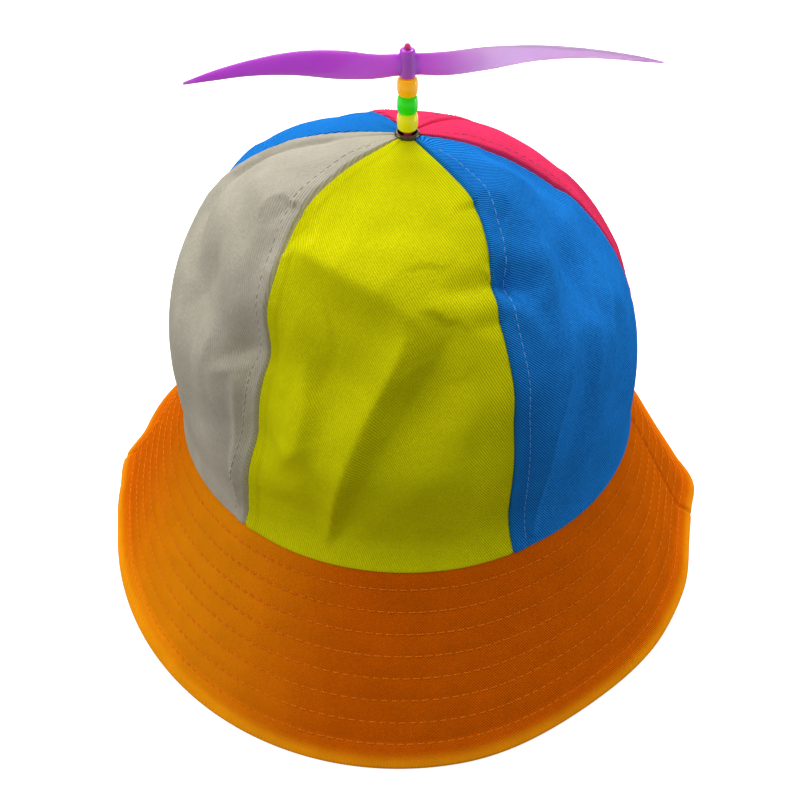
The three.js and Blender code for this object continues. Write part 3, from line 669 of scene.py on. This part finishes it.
def brim_line(azimuth, share):
    """The brim's middle layer at shares of its width: distance from the axis, height, and way out upwards."""
    half = BRIM_THICKNESS / 2
    start = (oval_radius(azimuth, CROWN_HALF_WIDTH, CROWN_HALF_DEPTH) - half, BRIM_TOP_HEIGHT)
    end = (rim_radius(azimuth) - half, half - RIM_PRESSED)
    hem = (end[0] - HEM_WIDTH * math.cos(HEM_SLOPE), end[1] + HEM_WIDTH * math.sin(HEM_SLOPE))
    upper_length = np.hypot(hem[0] - start[0], hem[1] - start[1])
    bend = upper_length / (upper_length + HEM_WIDTH)
    before = np.minimum(share / bend, 1.0)
    after = np.clip((share - bend) / (1.0 - bend), 0.0, 1.0)
    radius = start[0] + (hem[0] - start[0]) * before + (end[0] - hem[0]) * after
    height = start[1] + (hem[1] - start[1]) * before + (end[1] - hem[1]) * after
    turn = eased(bend - HEM_SOFTNESS, bend + HEM_SOFTNESS, share)
    out_r = (start[1] - hem[1]) / upper_length * (1.0 - turn) + math.sin(HEM_SLOPE) * turn
    out_h = (hem[0] - start[0]) / upper_length * (1.0 - turn) + math.cos(HEM_SLOPE) * turn
    size = np.hypot(out_r, out_h)
    return radius, height, out_r / size, out_h / size


def quilting(width_at, around):
    """Depth of the quilted hollows at a distance down the brim and a distance round it."""
    depth = np.zeros(np.shape(width_at))
    for row in range(BRIM_STITCH_ROWS):
        middle = FIRST_ROW + row * ROW_SPACING
        wave = np.cos(2.0 * np.pi * around / BRIM_STITCH_PITCH + row)
        pull = 1.0 - BRIM_STITCH_PULL + BRIM_STITCH_PULL * wave
        depth += QUILT_DEPTH * pull * np.exp(-np.abs((width_at - middle) / QUILT_REACH) ** QUILT_SHARPNESS)
    return depth


def face_spacing():
    """Shares of the brim's width for the columns of one face, closest beside the rows of stitching."""
    fine = np.linspace(0.0, BRIM_FULL_WIDTH, ROW_SAMPLES)
    density = np.full(fine.shape, 1.0)
    for row in range(BRIM_STITCH_ROWS):
        from_row = (fine - FIRST_ROW - row * ROW_SPACING) / ROW_CROWDING_REACH
        density += ROW_CROWDING * np.exp(-from_row ** 2)
    count = np.concatenate(([0.0], np.cumsum(density[1:])))
    return np.interp(np.linspace(0.0, count[-1], FACE_COLUMNS + 1), count, fine) / BRIM_FULL_WIDTH


def brim_places(azimuth, share, face, lift=0.0):
    """Points of the brim's upper (face 1) or under (face -1) layer, and the ways out of it."""
    radius, height, out_r, out_h = brim_line(azimuth, share)
    mean_radius = 0.5 * (CROWN_HALF_WIDTH + RIM_HALF_WIDTH)
    around = np.radians(azimuth) * mean_radius
    from_seam = np.radians(np.abs(np.abs(wrapped(azimuth)) - 90.0)) * radius
    half = BRIM_THICKNESS / 2 + lift
    half = half - quilting(share * BRIM_FULL_WIDTH, around) * eased(0.0, QUILT_START, share)
    half = half - SIDE_SEAM_DEPTH * np.exp(-(from_seam / SIDE_SEAM_REACH) ** 2)
    half = half - JOIN_DEPTH * (1.0 - eased(0.0, JOIN_REACH, share))
    points = around_axis(azimuth, radius + face * half * out_r, height + face * half * out_h)
    return points, around_axis(azimuth, face * out_r, face * out_h)


# The brim's twill; its last colour is a lighter, yellower orange painted on as painted light.
brim_twill = twill_cloth(
    "orange_twill", (0.92, 0.172, 0.0015), (0.50, 0.070, 0.001), 40, 0.5, 0.9, 0.06, painted_light_colour=(1.0, 0.34, 0.005),
)

# The flat cut of a half is a sector of the cone that the brim lies on.
cone_sine = ((RIM_HALF_WIDTH + RIM_HALF_DEPTH) - (CROWN_HALF_WIDTH + CROWN_HALF_DEPTH)) / 2 / BRIM_FULL_WIDTH
cut_inner = (CROWN_HALF_WIDTH + CROWN_HALF_DEPTH) / 2 / cone_sine

spacing = face_spacing()
under_end = 2 * FACE_COLUMNS + RIM_COLUMNS
for name, first, last in BRIM_HALVES:
    mesh, column, row = lay_grid(under_end + TOP_COLUMNS, BRIM_STEPS)
    azimuth = first + (last - first) * crowded(row / BRIM_STEPS, SIDE_CROWDING)
    over = np.clip(column, 0, FACE_COLUMNS)
    beneath = np.clip(under_end - column, 0, FACE_COLUMNS)
    share = np.where(column <= FACE_COLUMNS + RIM_COLUMNS / 2, spacing[over], spacing[beneath])
    upper, upper_way = brim_places(azimuth, share, 1)
    lower, _ = brim_places(azimuth, share, -1)
    middle = (upper + lower) / 2
    tip = around_axis(azimuth, math.cos(HEM_SLOPE), -math.sin(HEM_SLOPE))
    rim_turn = (np.clip((column - FACE_COLUMNS) / RIM_COLUMNS, 0.0, 1.0) * np.pi)[:, None]
    points = middle + np.cos(rim_turn) * (upper - middle) + np.sin(rim_turn) * tip * BRIM_THICKNESS / 2
    closing = np.clip((column - under_end) / TOP_COLUMNS, 0.0, 1.0)[:, None]
    turned_up = np.sin(closing * np.pi) * (closing > 0.0)
    points = points + closing * (upper - lower)
    points = points + turned_up * around_axis(azimuth, -ALLOWANCE_INSET, ALLOWANCE_HEIGHT)
    points[:, 2] = np.maximum(points[:, 2], 0.0)
    ripple = lumps(points * (1.0, 1.0, 0.0), *RIPPLE)
    ripple = ripple * eased(*RIPPLE_START, share) * eased(0.0, RIPPLE_END, 1.0 - share)
    move_to(mesh, points + upper_way * ripple[:, None])
    slant = cut_inner + share * BRIM_FULL_WIDTH
    turn = np.radians(azimuth - (first + last) / 2) * cone_sine
    measure_cloth(mesh, np.stack((slant * np.sin(turn), -slant * np.cos(turn)), -1))
    # Painted light: the orange is painted lighter and yellower along the hem, at both sides and at the front
    # on the left.
    frontward = eased(*BACK_COSINES, np.cos(np.radians(azimuth)))
    hem_painted_light = RIM_PAINTED_LIGHT * eased(RIM_PAINTED_LIGHT_START, 1.0, share)
    painted_light = hem_painted_light * (BACK_PAINTED_LIGHT_SHARE + (1.0 - BACK_PAINTED_LIGHT_SHARE) * frontward)
    painted_light = painted_light + SIDE_PAINTED_LIGHT * eased(SIDE_PAINTED_LIGHT_START, 1.0, np.abs(np.sin(np.radians(azimuth))))
    painted_light = painted_light + LEFT_PAINTED_LIGHT * bell(wrapped(azimuth - LEFT_PAINTED_LIGHT_AZIMUTH) / LEFT_PAINTED_LIGHT_SPAN)
    mark_cloth(mesh, "painted_light", np.minimum(painted_light, 1.0))
    bmesh.ops.reverse_faces(mesh, faces=mesh.faces)
    bmesh.ops.remove_doubles(mesh, verts=mesh.verts, dist=MERGE_DISTANCE)
    bmesh.ops.holes_fill(mesh, edges=mesh.edges, sides=0)
    piece = finished(mesh, name + "_cloth", brim_twill)
    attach(piece, "cap")
    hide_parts(name)

# The brim's stitching: eight rows of orange thread through both layers, showing on the upper and the under
# face. Each row is one thread that goes round the whole brim.
BRIM_STITCH_SHARE = 0.72
BRIM_THREAD_WIDTH = 0.5
BRIM_THREAD_RISE = 0.2
brim_thread = sewing_thread("orange_thread", (1.0, 0.27, 0.005), (0.70, 0.14, 0.002))

for face, face_name in ((1, "upper"), (-1, "under")):
    for row in range(BRIM_STITCH_ROWS):
        share = (FIRST_ROW + row * ROW_SPACING) / BRIM_FULL_WIDTH
        row_radius = float(brim_line(0.0, share)[0])
        stitches = int(2.0 * math.pi * row_radius / BRIM_STITCH_PITCH)
        phase = np.arange(stitches * STITCH_STEPS + 1) / STITCH_STEPS
        lift = stitch_lift(phase % 1.0, BRIM_STITCH_SHARE, BRIM_THREAD_RISE)
        points, ways = brim_places(phase * 360.0 / stitches, np.full(phase.shape, share), face, lift)
        mesh = spun_thread(points, ways, BRIM_THREAD_WIDTH, True)
        piece = finished(mesh, f"brim_stitch_{face_name}_{row + 1}", brim_thread)
        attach(piece, "cap")

# The eyelet: a brass ring set in the hole at the top of the crown, with its edge rolled over the cloth and a
# washer under it. It is pressed from thin sheet and has darkened with handling.
CROWN_TOP = SEWN_EDGE_HEIGHT + CROWN_HEIGHT
EYELET_RADIUS = 4.3
EYELET_HOLE_RADIUS = 3.0
EYELET_WALL = 0.5
EYELET_ROLL_HEIGHT = 1.0
EYELET_LIFT = 0.3
EYELET_WASHER_TOP = -1.7
EYELET_BOTTOM = -2.5
EYELET_EDGE = 0.2
TURNED_STEPS = 48
SHARP_EDGE = math.radians(50)


def turned(profile, height, steps=TURNED_STEPS):
    """A round piece turned from a profile of distances from the axis and heights above its foot."""
    mesh = bmesh.new()
    corners = [mesh.verts.new((radius, 0.0, height + level)) for radius, level in profile]
    edges = [mesh.edges.new(pair) for pair in zip(corners, corners[1:])]
    bmesh.ops.spin(
        mesh, geom=corners + edges, cent=(0, 0, 0), axis=(0, 0, 1), angle=2.0 * math.pi, steps=steps,
        use_merge=True,
    )
    bmesh.ops.remove_doubles(mesh, verts=mesh.verts, dist=MERGE_DISTANCE)
    bmesh.ops.recalc_face_normals(mesh, faces=mesh.faces)
    return mesh


def rounded(x, y, radius_x, radius_y, start, end, steps):
    """Points of an oval arc between two angles in degrees."""
    angles = np.radians(np.linspace(start, end, steps + 1))
    return [(x + radius_x * math.cos(angle), y + radius_y * math.sin(angle)) for angle in angles]


def aged_brass():
    """Pressed brass, dull brown in its stains and rubbed bright between them."""
    material, tree, shader = new_material("eyelet_brass", Metallic=1.0)
    stain = noise_on_piece(tree, Scale=700.0, Detail=4.0)
    colour = add_node(tree, "ValToRGB")
    dull, rubbed = colour.color_ramp.elements
    dull.position = 0.35
    dull.color = (0.035, 0.026, 0.018, 1.0)
    rubbed.position = 0.7
    rubbed.color = (0.20, 0.16, 0.10, 1.0)
    tree.links.new(stain, colour.inputs["Fac"])
    tree.links.new(colour.outputs["Color"], shader.inputs["Base Color"])
    tree.links.new(ranged(tree, stain, To_Min=0.5, To_Max=0.25), shader.inputs["Roughness"])
    return material


barrel = EYELET_HOLE_RADIUS + EYELET_WALL
roll = (EYELET_RADIUS - EYELET_HOLE_RADIUS) / 2
eyelet_profile = [
    (EYELET_HOLE_RADIUS, EYELET_BOTTOM + EYELET_EDGE),
    (EYELET_HOLE_RADIUS + EYELET_EDGE, EYELET_BOTTOM),
    (EYELET_RADIUS - EYELET_EDGE, EYELET_BOTTOM),
    (EYELET_RADIUS, EYELET_BOTTOM + EYELET_EDGE),
    (EYELET_RADIUS, EYELET_WASHER_TOP - EYELET_EDGE / 2),
    (EYELET_RADIUS - EYELET_EDGE / 2, EYELET_WASHER_TOP),
    (barrel, EYELET_WASHER_TOP),
    (barrel, EYELET_LIFT),
    *rounded(EYELET_HOLE_RADIUS + roll, EYELET_LIFT, roll, EYELET_ROLL_HEIGHT, 0, 180, 12),
    (EYELET_HOLE_RADIUS, EYELET_BOTTOM + EYELET_EDGE),
]
eyelet = finished(turned(eyelet_profile, CROWN_TOP), "eyelet_ring", aged_brass())
eyelet.data.set_sharp_from_angle(angle=SHARP_EDGE)
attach(eyelet, "cap")
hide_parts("eyelet")

# The pin: one moulding of pink plastic, with a disc foot inside the crown, a post through the eyelet, a thin
# shank through the beads and the hub, and a small domed head that keeps the propeller on.
FOOT_RADIUS = 6.5
FOOT_TOP = -2.8
FOOT_BOTTOM = -4.4
FOOT_ROUNDING = 0.4
POST_RADIUS = 1.3
POST_TOP = 1.8
POST_ROUNDING = 0.3
SHANK_RADIUS = 0.7
HUB_BOTTOM = 20.7
HUB_HEIGHT = 9.3
HUB_PLAY = 0.3
HEAD_BOTTOM = HUB_BOTTOM + HUB_HEIGHT + HUB_PLAY
HEAD_RADIUS = 1.15
HEAD_HEIGHT = 1.6
HEAD_EDGE = 0.15
PIN_STEPS = 32


def moulded_plastic(name, colour, shade, roughness, glow, bright=0.0, thin_and_painted_highlight=None):
    """Injection-moulded plastic: glossy, with faint flow marks and fine scuffs. Glow is how far light sinks
    in. The emission strength is painted light: a glow the plastic gives off in its own colour, though it is
    no lamp.
    The paler colour is mixed in where the mesh marks the plastic thinner, with more light through it, and is
    partly a painted highlight."""
    material, tree, shader = new_material(
        name, Subsurface_Weight=glow, Subsurface_Radius=(1.0, 0.7, 1.0), Subsurface_Scale=0.005,
        Specular_IOR_Level=0.25, Coat_Weight=0.1, Coat_Roughness=0.08, Emission_Strength=bright,
    )
    link = tree.links.new
    flow = noise_on_piece(tree, Scale=160.0, Detail=3.0, Distortion=0.8)
    dyed = colour_mix(tree, flow, shade, colour)
    if thin_and_painted_highlight:
        thinness_and_painted_highlight = marked(tree, "thin_and_painted_highlight")
        dyed = colour_mix(tree, thinness_and_painted_highlight, dyed, thin_and_painted_highlight)
        link(ranged(tree, thinness_and_painted_highlight, To_Min=0.1, To_Max=0.45), shader.inputs["Transmission Weight"])
    link(dyed, shader.inputs["Base Color"])
    # Painted light: the dyed colour is given off as a glow, though the plastic is no lamp.
    if bright:
        link(dyed, shader.inputs["Emission Color"])
    scuff = noise_on_piece(tree, Scale=1400.0, Detail=2.0)
    link(ranged(tree, scuff, To_Min=roughness * 0.7, To_Max=roughness * 1.3), shader.inputs["Roughness"])
    raise_surface(tree, shader, flow, strength=0.05, distance=0.0002)
    return material


foot_rim = FOOT_RADIUS - FOOT_ROUNDING
pin_profile = [
    (0.0, FOOT_BOTTOM),
    *rounded(foot_rim, FOOT_BOTTOM + FOOT_ROUNDING, FOOT_ROUNDING, FOOT_ROUNDING, -90, 0, 4),
    *rounded(foot_rim, FOOT_TOP - FOOT_ROUNDING, FOOT_ROUNDING, FOOT_ROUNDING, 0, 90, 4),
    (POST_RADIUS + POST_ROUNDING, FOOT_TOP),
    (POST_RADIUS, FOOT_TOP + POST_ROUNDING),
    *rounded(POST_RADIUS - POST_ROUNDING, POST_TOP - POST_ROUNDING, POST_ROUNDING, POST_ROUNDING, 0, 90, 3),
    (SHANK_RADIUS, POST_TOP),
    (SHANK_RADIUS, HEAD_BOTTOM),
    (HEAD_RADIUS - HEAD_EDGE, HEAD_BOTTOM),
    *rounded(0.0, HEAD_BOTTOM + HEAD_EDGE, HEAD_RADIUS, HEAD_HEIGHT - HEAD_EDGE, 0, 90, 8),
]
pin_profile[-1] = (0.0, HEAD_BOTTOM + HEAD_HEIGHT)
pin_pink = moulded_plastic("pink_plastic", (0.85, 0.06, 0.26), (0.72, 0.04, 0.19), roughness=0.3, glow=0.3)
pin = finished(turned(pin_profile, CROWN_TOP, PIN_STEPS), "pin", pin_pink)
pin.data.set_sharp_from_angle(angle=SHARP_EDGE)
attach(pin, "cap")
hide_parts("spindle")

# The beads: three barrel beads of glossy plastic threaded on the pin, yellow, green and orange going up. Each
# has a wide hole and ends that are a little dished from the mould.
BEAD_RADIUS = 3.55
BEAD_END_RADIUS = 2.7
BEAD_HEIGHT = 5.9
BEAD_HOLE_RADIUS = 1.1
BEAD_DISH = 0.45
BEAD_LIP = (0.3, 0.25)
BEADS_BOTTOM = 2.1
BEAD_PITCH = 6.2
BEADS = [
    ("bead_yellow", "yellow_plastic", (0.78, 0.76, 0.004), (0.70, 0.67, 0.003)),
    ("bead_green", "green_plastic", (0.020, 0.74, 0.001), (0.012, 0.66, 0.001)),
    ("bead_orange", "orange_plastic", (1.0, 0.50, 0.001), (1.0, 0.42, 0.001)),
]
swell = BEAD_RADIUS - BEAD_END_RADIUS
bead_half = BEAD_HEIGHT / 2
lip_radius = BEAD_HOLE_RADIUS + BEAD_LIP[0]
bead_profile = [
    (BEAD_HOLE_RADIUS, BEAD_DISH),
    *rounded(lip_radius, BEAD_DISH, *BEAD_LIP, 180, 270, 3),
    *rounded(BEAD_END_RADIUS, bead_half, swell, bead_half, -90, 90, 20),
    *rounded(lip_radius, BEAD_HEIGHT - BEAD_DISH, *BEAD_LIP, 90, 180, 3),
    (BEAD_HOLE_RADIUS, BEAD_HEIGHT - BEAD_DISH),
    (BEAD_HOLE_RADIUS, BEAD_DISH),
]
for order, (name, bead_slot, colour, shade) in enumerate(BEADS):
    mesh = turned(bead_profile, CROWN_TOP + BEADS_BOTTOM + order * BEAD_PITCH)
    # Each bead glows with painted light in its own colour, though it is no lamp.
    bead_plastic = moulded_plastic(bead_slot, colour, shade, roughness=0.22, glow=0.0, bright=0.3)
    piece = finished(mesh, name + "_barrel", bead_plastic)
    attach(piece, "cap")
    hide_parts(name)

# The propeller: one moulding of glossy purple plastic, a bored hub with a domed top and two thin blades that
# turn from upright at the hub to slanting at the tip. It spins freely on the pin.
HUB_RADIUS = 2.6
HUB_DOME = 0.9
HUB_EDGE = 0.2
BORE_RADIUS = 0.95
BORE_EDGE = 0.15
BLADE_ROOT_HEIGHT = 4.4
BLADE_THICKNESS = 1.1
BLADE_SQUARENESS = 0.8
BLADE_SHARP_EDGE = math.radians(40)
BLADE_AROUND = 28
BLADE_STATIONS = 72
ROOT_FILLET = 2.2
ROOT_FILLET_RISE = 1.2
PROPELLER_TURN = math.radians(13.4)
BLADES = [(0.0, 83.5), (180.0, 71.0)]

# The longer blade's plastic thins, letting more light through, and is painted paler, a painted highlight,
# over the first of these shares of its reach; it gets some of its colour back over the second, at its tip,
# and along its edges.
PALE_ROOT = (0.02, 0.4)
PALE_TIP = (0.8, 1.0)
TIP_COLOUR = 0.4
EDGE_COLOUR = 0.2
EDGE_SHARPNESS = 5

# Share of the blade's reach, chord, pitch from level and rise of its middle above the root.
BLADE = np.array([
    (0.02, 7.2, 90, -0.2), (0.13, 8.2, 89, -0.6), (0.3, 9.1, 78, 0.5), (0.5, 7.3, 66, 1.6),
    (0.7, 4.9, 60, 0.7), (0.87, 3.0, 58, -1.4), (1.0, 0.9, 58, -3.5),
])


def smooth_between(shares, table, column):
    """A smooth curve through one column of the blade's table."""
    x = table[:, 0]
    y = table[:, column]
    slope = np.gradient(y, x)
    k = np.clip(np.searchsorted(x, shares, side="right") - 1, 0, len(x) - 2)
    span = x[k + 1] - x[k]
    t = (shares - x[k]) / span
    rise = y[k] * (2 * t**3 - 3 * t**2 + 1) + y[k + 1] * (3 * t**2 - 2 * t**3)
    return rise + span * (slope[k] * (t**3 - 2 * t**2 + t) + slope[k + 1] * (t**3 - t**2))


def squared(wave):
    """A wave with fuller peaks."""
    return np.sign(wave) * np.abs(wave) ** BLADE_SQUARENESS


def blade_mesh(turn, reach):
    """One blade, closed at the tip and inside the hub."""
    mesh, column, row = lay_grid(BLADE_AROUND, BLADE_STATIONS)
    share = BLADE[0, 0] + (1.0 - BLADE[0, 0]) * row / BLADE_STATIONS
    chord = smooth_between(share, BLADE, 1)
    pitch = np.radians(smooth_between(share, BLADE, 2))
    rise = smooth_between(share, BLADE, 3)
    thick = np.minimum(BLADE_THICKNESS, chord / 2)
    from_hub = np.clip(HUB_RADIUS + ROOT_FILLET - share * reach, 0.0, ROOT_FILLET)
    thick = thick + ROOT_FILLET_RISE * (ROOT_FILLET - np.sqrt(ROOT_FILLET**2 - from_hub**2))
    angle = 2.0 * np.pi * column / BLADE_AROUND
    across = chord / 2 * squared(np.cos(angle))
    out = thick / 2 * squared(np.sin(angle))
    sideways = -across * np.cos(pitch) + out * np.sin(pitch)
    height = rise + across * np.sin(pitch) + out * np.cos(pitch)
    move_to(mesh, np.stack((share * reach, sideways, height), -1))
    bmesh.ops.remove_doubles(mesh, verts=mesh.verts, dist=MERGE_DISTANCE)
    bmesh.ops.holes_fill(mesh, edges=mesh.edges, sides=0)
    bmesh.ops.recalc_face_normals(mesh, faces=mesh.faces)
    lay = Matrix.Translation((0, 0, BLADE_ROOT_HEIGHT)) @ Matrix.Rotation(math.radians(turn), 4, "Z")
    bmesh.ops.transform(mesh, matrix=lay, verts=mesh.verts)
    return mesh


hub_profile = [
    (BORE_RADIUS, BORE_EDGE),
    (BORE_RADIUS + BORE_EDGE, 0.0),
    (HUB_RADIUS - HUB_EDGE, 0.0),
    (HUB_RADIUS, HUB_EDGE),
    *rounded(HUB_RADIUS - HUB_DOME, HUB_HEIGHT - HUB_DOME, HUB_DOME, HUB_DOME, 0, 90, 8),
    (BORE_RADIUS + BORE_EDGE, HUB_HEIGHT),
    (BORE_RADIUS, HUB_HEIGHT - BORE_EDGE),
    (BORE_RADIUS, BORE_EDGE),
]
# The paler purple is a painted highlight on the longer blade, where more light also goes through the plastic.
purple = moulded_plastic(
    "purple_plastic", (0.61, 0.078, 0.86), (0.54, 0.060, 0.79), roughness=0.2, glow=0.8,
    thin_and_painted_highlight=(0.84, 0.58, 0.95),
)
propeller_lay = Matrix.Translation((0, 0, CROWN_TOP + HUB_BOTTOM)) @ Matrix.Rotation(PROPELLER_TURN, 4, "Z")
hub_mesh = turned(hub_profile, 0.0)
bmesh.ops.transform(hub_mesh, matrix=propeller_lay, verts=hub_mesh.verts)
propeller = finished(hub_mesh, "propeller_moulding", purple)
blade_pieces = []
for turn, reach in BLADES:
    mesh = blade_mesh(turn, reach)
    bmesh.ops.transform(mesh, matrix=propeller_lay, verts=mesh.verts)
    blade = finished(mesh, f"blade_{turn:.0f}", purple)
    join = propeller.modifiers.new("blade", "BOOLEAN")
    join.operation = "UNION"
    join.object = blade
    blade_pieces.append(blade)
moulding = bpy.data.meshes.new_from_object(propeller.evaluated_get(bpy.context.evaluated_depsgraph_get()))
propeller.modifiers.clear()
propeller.data = moulding

# How much thinner the plastic is, with its painted highlight, goes to the material with each vertex.
places = np.empty(len(moulding.vertices) * 3)
moulding.vertices.foreach_get("co", places)
places = places.reshape(-1, 3) / MM
along = places[:, 0] * math.cos(PROPELLER_TURN) + places[:, 1] * math.sin(PROPELLER_TURN)
sideways = places[:, 1] * math.cos(PROPELLER_TURN) - places[:, 0] * math.sin(PROPELLER_TURN)
share = np.clip(along / BLADES[0][1], BLADE[0, 0], 1.0)
pitch = np.radians(smooth_between(share, BLADE, 2))
above = places[:, 2] - CROWN_TOP - HUB_BOTTOM - BLADE_ROOT_HEIGHT - smooth_between(share, BLADE, 3)
across = (above * np.sin(pitch) - sideways * np.cos(pitch)) / (smooth_between(share, BLADE, 1) / 2)
thin_and_painted_highlight = eased(*PALE_ROOT, share) * (1.0 - TIP_COLOUR * eased(*PALE_TIP, share)) * (along > 0.0)
thin_and_painted_highlight = thin_and_painted_highlight * (1.0 - EDGE_COLOUR * np.minimum(np.abs(across), 1.0) ** EDGE_SHARPNESS)
moulding.attributes.new("thin_and_painted_highlight", "FLOAT", "POINT").data.foreach_set("value", thin_and_painted_highlight)
moulding.shade_smooth()
moulding.set_sharp_from_angle(angle=BLADE_SHARP_EDGE)
for blade in blade_pieces:
    bpy.data.objects.remove(blade)
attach(propeller, "propeller")
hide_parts("propeller")

# The studio: a white floor that glows a little itself, soft lights above and behind, straight above, and low
# at the left, the right and the back, and a plain sky that is brightest above on the left. The camera stands
# at the photograph's place.
FLOOR_HALF = 6.0
BRIGHT_SKY = (-0.40, 0.05, 0.91)
SKY_DIMMEST = 0.09
SKY_BRIGHTEST = 0.59

# The camera: how far up and round it stands, in degrees, its distance from its aim, in metres, its focal
# length and the place of its aim, in the photograph's pixels, and its sensor, in millimetres.
CAMERA_ELEVATION = 42.0
CAMERA_AZIMUTH = 7.9
CAMERA_DISTANCE = 0.450
CAMERA_PIXELS = 1121.0
AIM_COLUMN = 407.5
AIM_ROW = 394.0
IMAGE_SIDE = 800.0
SENSOR = 36.0

mesh = bmesh.new()
bmesh.ops.create_grid(mesh, x_segments=1, y_segments=1, size=FLOOR_HALF / MM)
white, _, _ = new_material(
    "white_floor", Base_Color=(0.9, 0.9, 0.9, 1.0), Roughness=0.9, Emission_Color=(1.0, 1.0, 1.0, 1.0),
    Emission_Strength=0.7,
)
floor = finished(mesh, "floor", white)
floor.visible_diffuse = False


def soft_light(name, place, aim, size, power):
    """A square soft light at a place, turned towards a point."""
    lamp = bpy.data.lights.new(name, "AREA")
    lamp.size = size
    lamp.energy = power
    light = bpy.data.objects.new(name, lamp)
    light.location = place
    light.rotation_euler = (Vector(aim) - Vector(place)).to_track_quat("-Z", "Y").to_euler()
    bpy.context.scene.collection.objects.link(light)


soft_light("key", (-0.15, 0.8, 1.0), (0.0, 0.0, 0.1), 0.55, 9.6)
soft_light("top", (-0.1, 0.1, 1.2), (0.0, 0.0, 0.1), 0.7, 2.7)
soft_light("left", (-0.9, -0.2, 0.45), (0.0, 0.0, 0.06), 0.5, 1.9)
soft_light("right", (0.9, 0.25, 0.12), (0.0, 0.0, 0.08), 0.4, 2.8)
soft_light("back", (0.1, 0.9, 0.3), (0.0, 0.0, 0.15), 0.6, 0.8)

world = bpy.data.worlds.new("studio")
world.use_nodes = True
background = set_sockets(world.node_tree.nodes["Background"], Color=(1.0, 1.0, 1.0, 1.0))
direction = add_node(world.node_tree, "TexCoord")
towards = add_node(world.node_tree, "VectorMath")
towards.operation = "DOT_PRODUCT"
towards.inputs[1].default_value = BRIGHT_SKY
world.node_tree.links.new(direction.outputs["Generated"], towards.inputs[0])
sky = ranged(
    world.node_tree, towards.outputs["Value"], From_Min=-1.0, To_Min=SKY_DIMMEST, To_Max=SKY_BRIGHTEST,
)
world.node_tree.links.new(sky, background.inputs["Strength"])
bpy.context.scene.world = world
bpy.context.scene.view_settings.view_transform = "Standard"

elevation = math.radians(CAMERA_ELEVATION)
azimuth = math.radians(CAMERA_AZIMUTH)
aim = Vector((0.0, 0.0, SEWN_EDGE_HEIGHT * MM))
away = Vector((
    math.sin(azimuth) * math.cos(elevation), -math.cos(azimuth) * math.cos(elevation), math.sin(elevation),
))
lens = bpy.data.cameras.new("camera")
lens.sensor_width = SENSOR
lens.lens = CAMERA_PIXELS * SENSOR / IMAGE_SIDE
lens.shift_x = (IMAGE_SIDE / 2 - AIM_COLUMN) / IMAGE_SIDE
lens.shift_y = (AIM_ROW - IMAGE_SIDE / 2) / IMAGE_SIDE
lens.clip_start = 0.01
camera = bpy.data.objects.new("camera", lens)
camera.location = aim + away * CAMERA_DISTANCE
camera.rotation_euler = (-away).to_track_quat("-Z", "Y").to_euler()
bpy.context.scene.collection.objects.link(camera)
bpy.context.scene.camera = camera
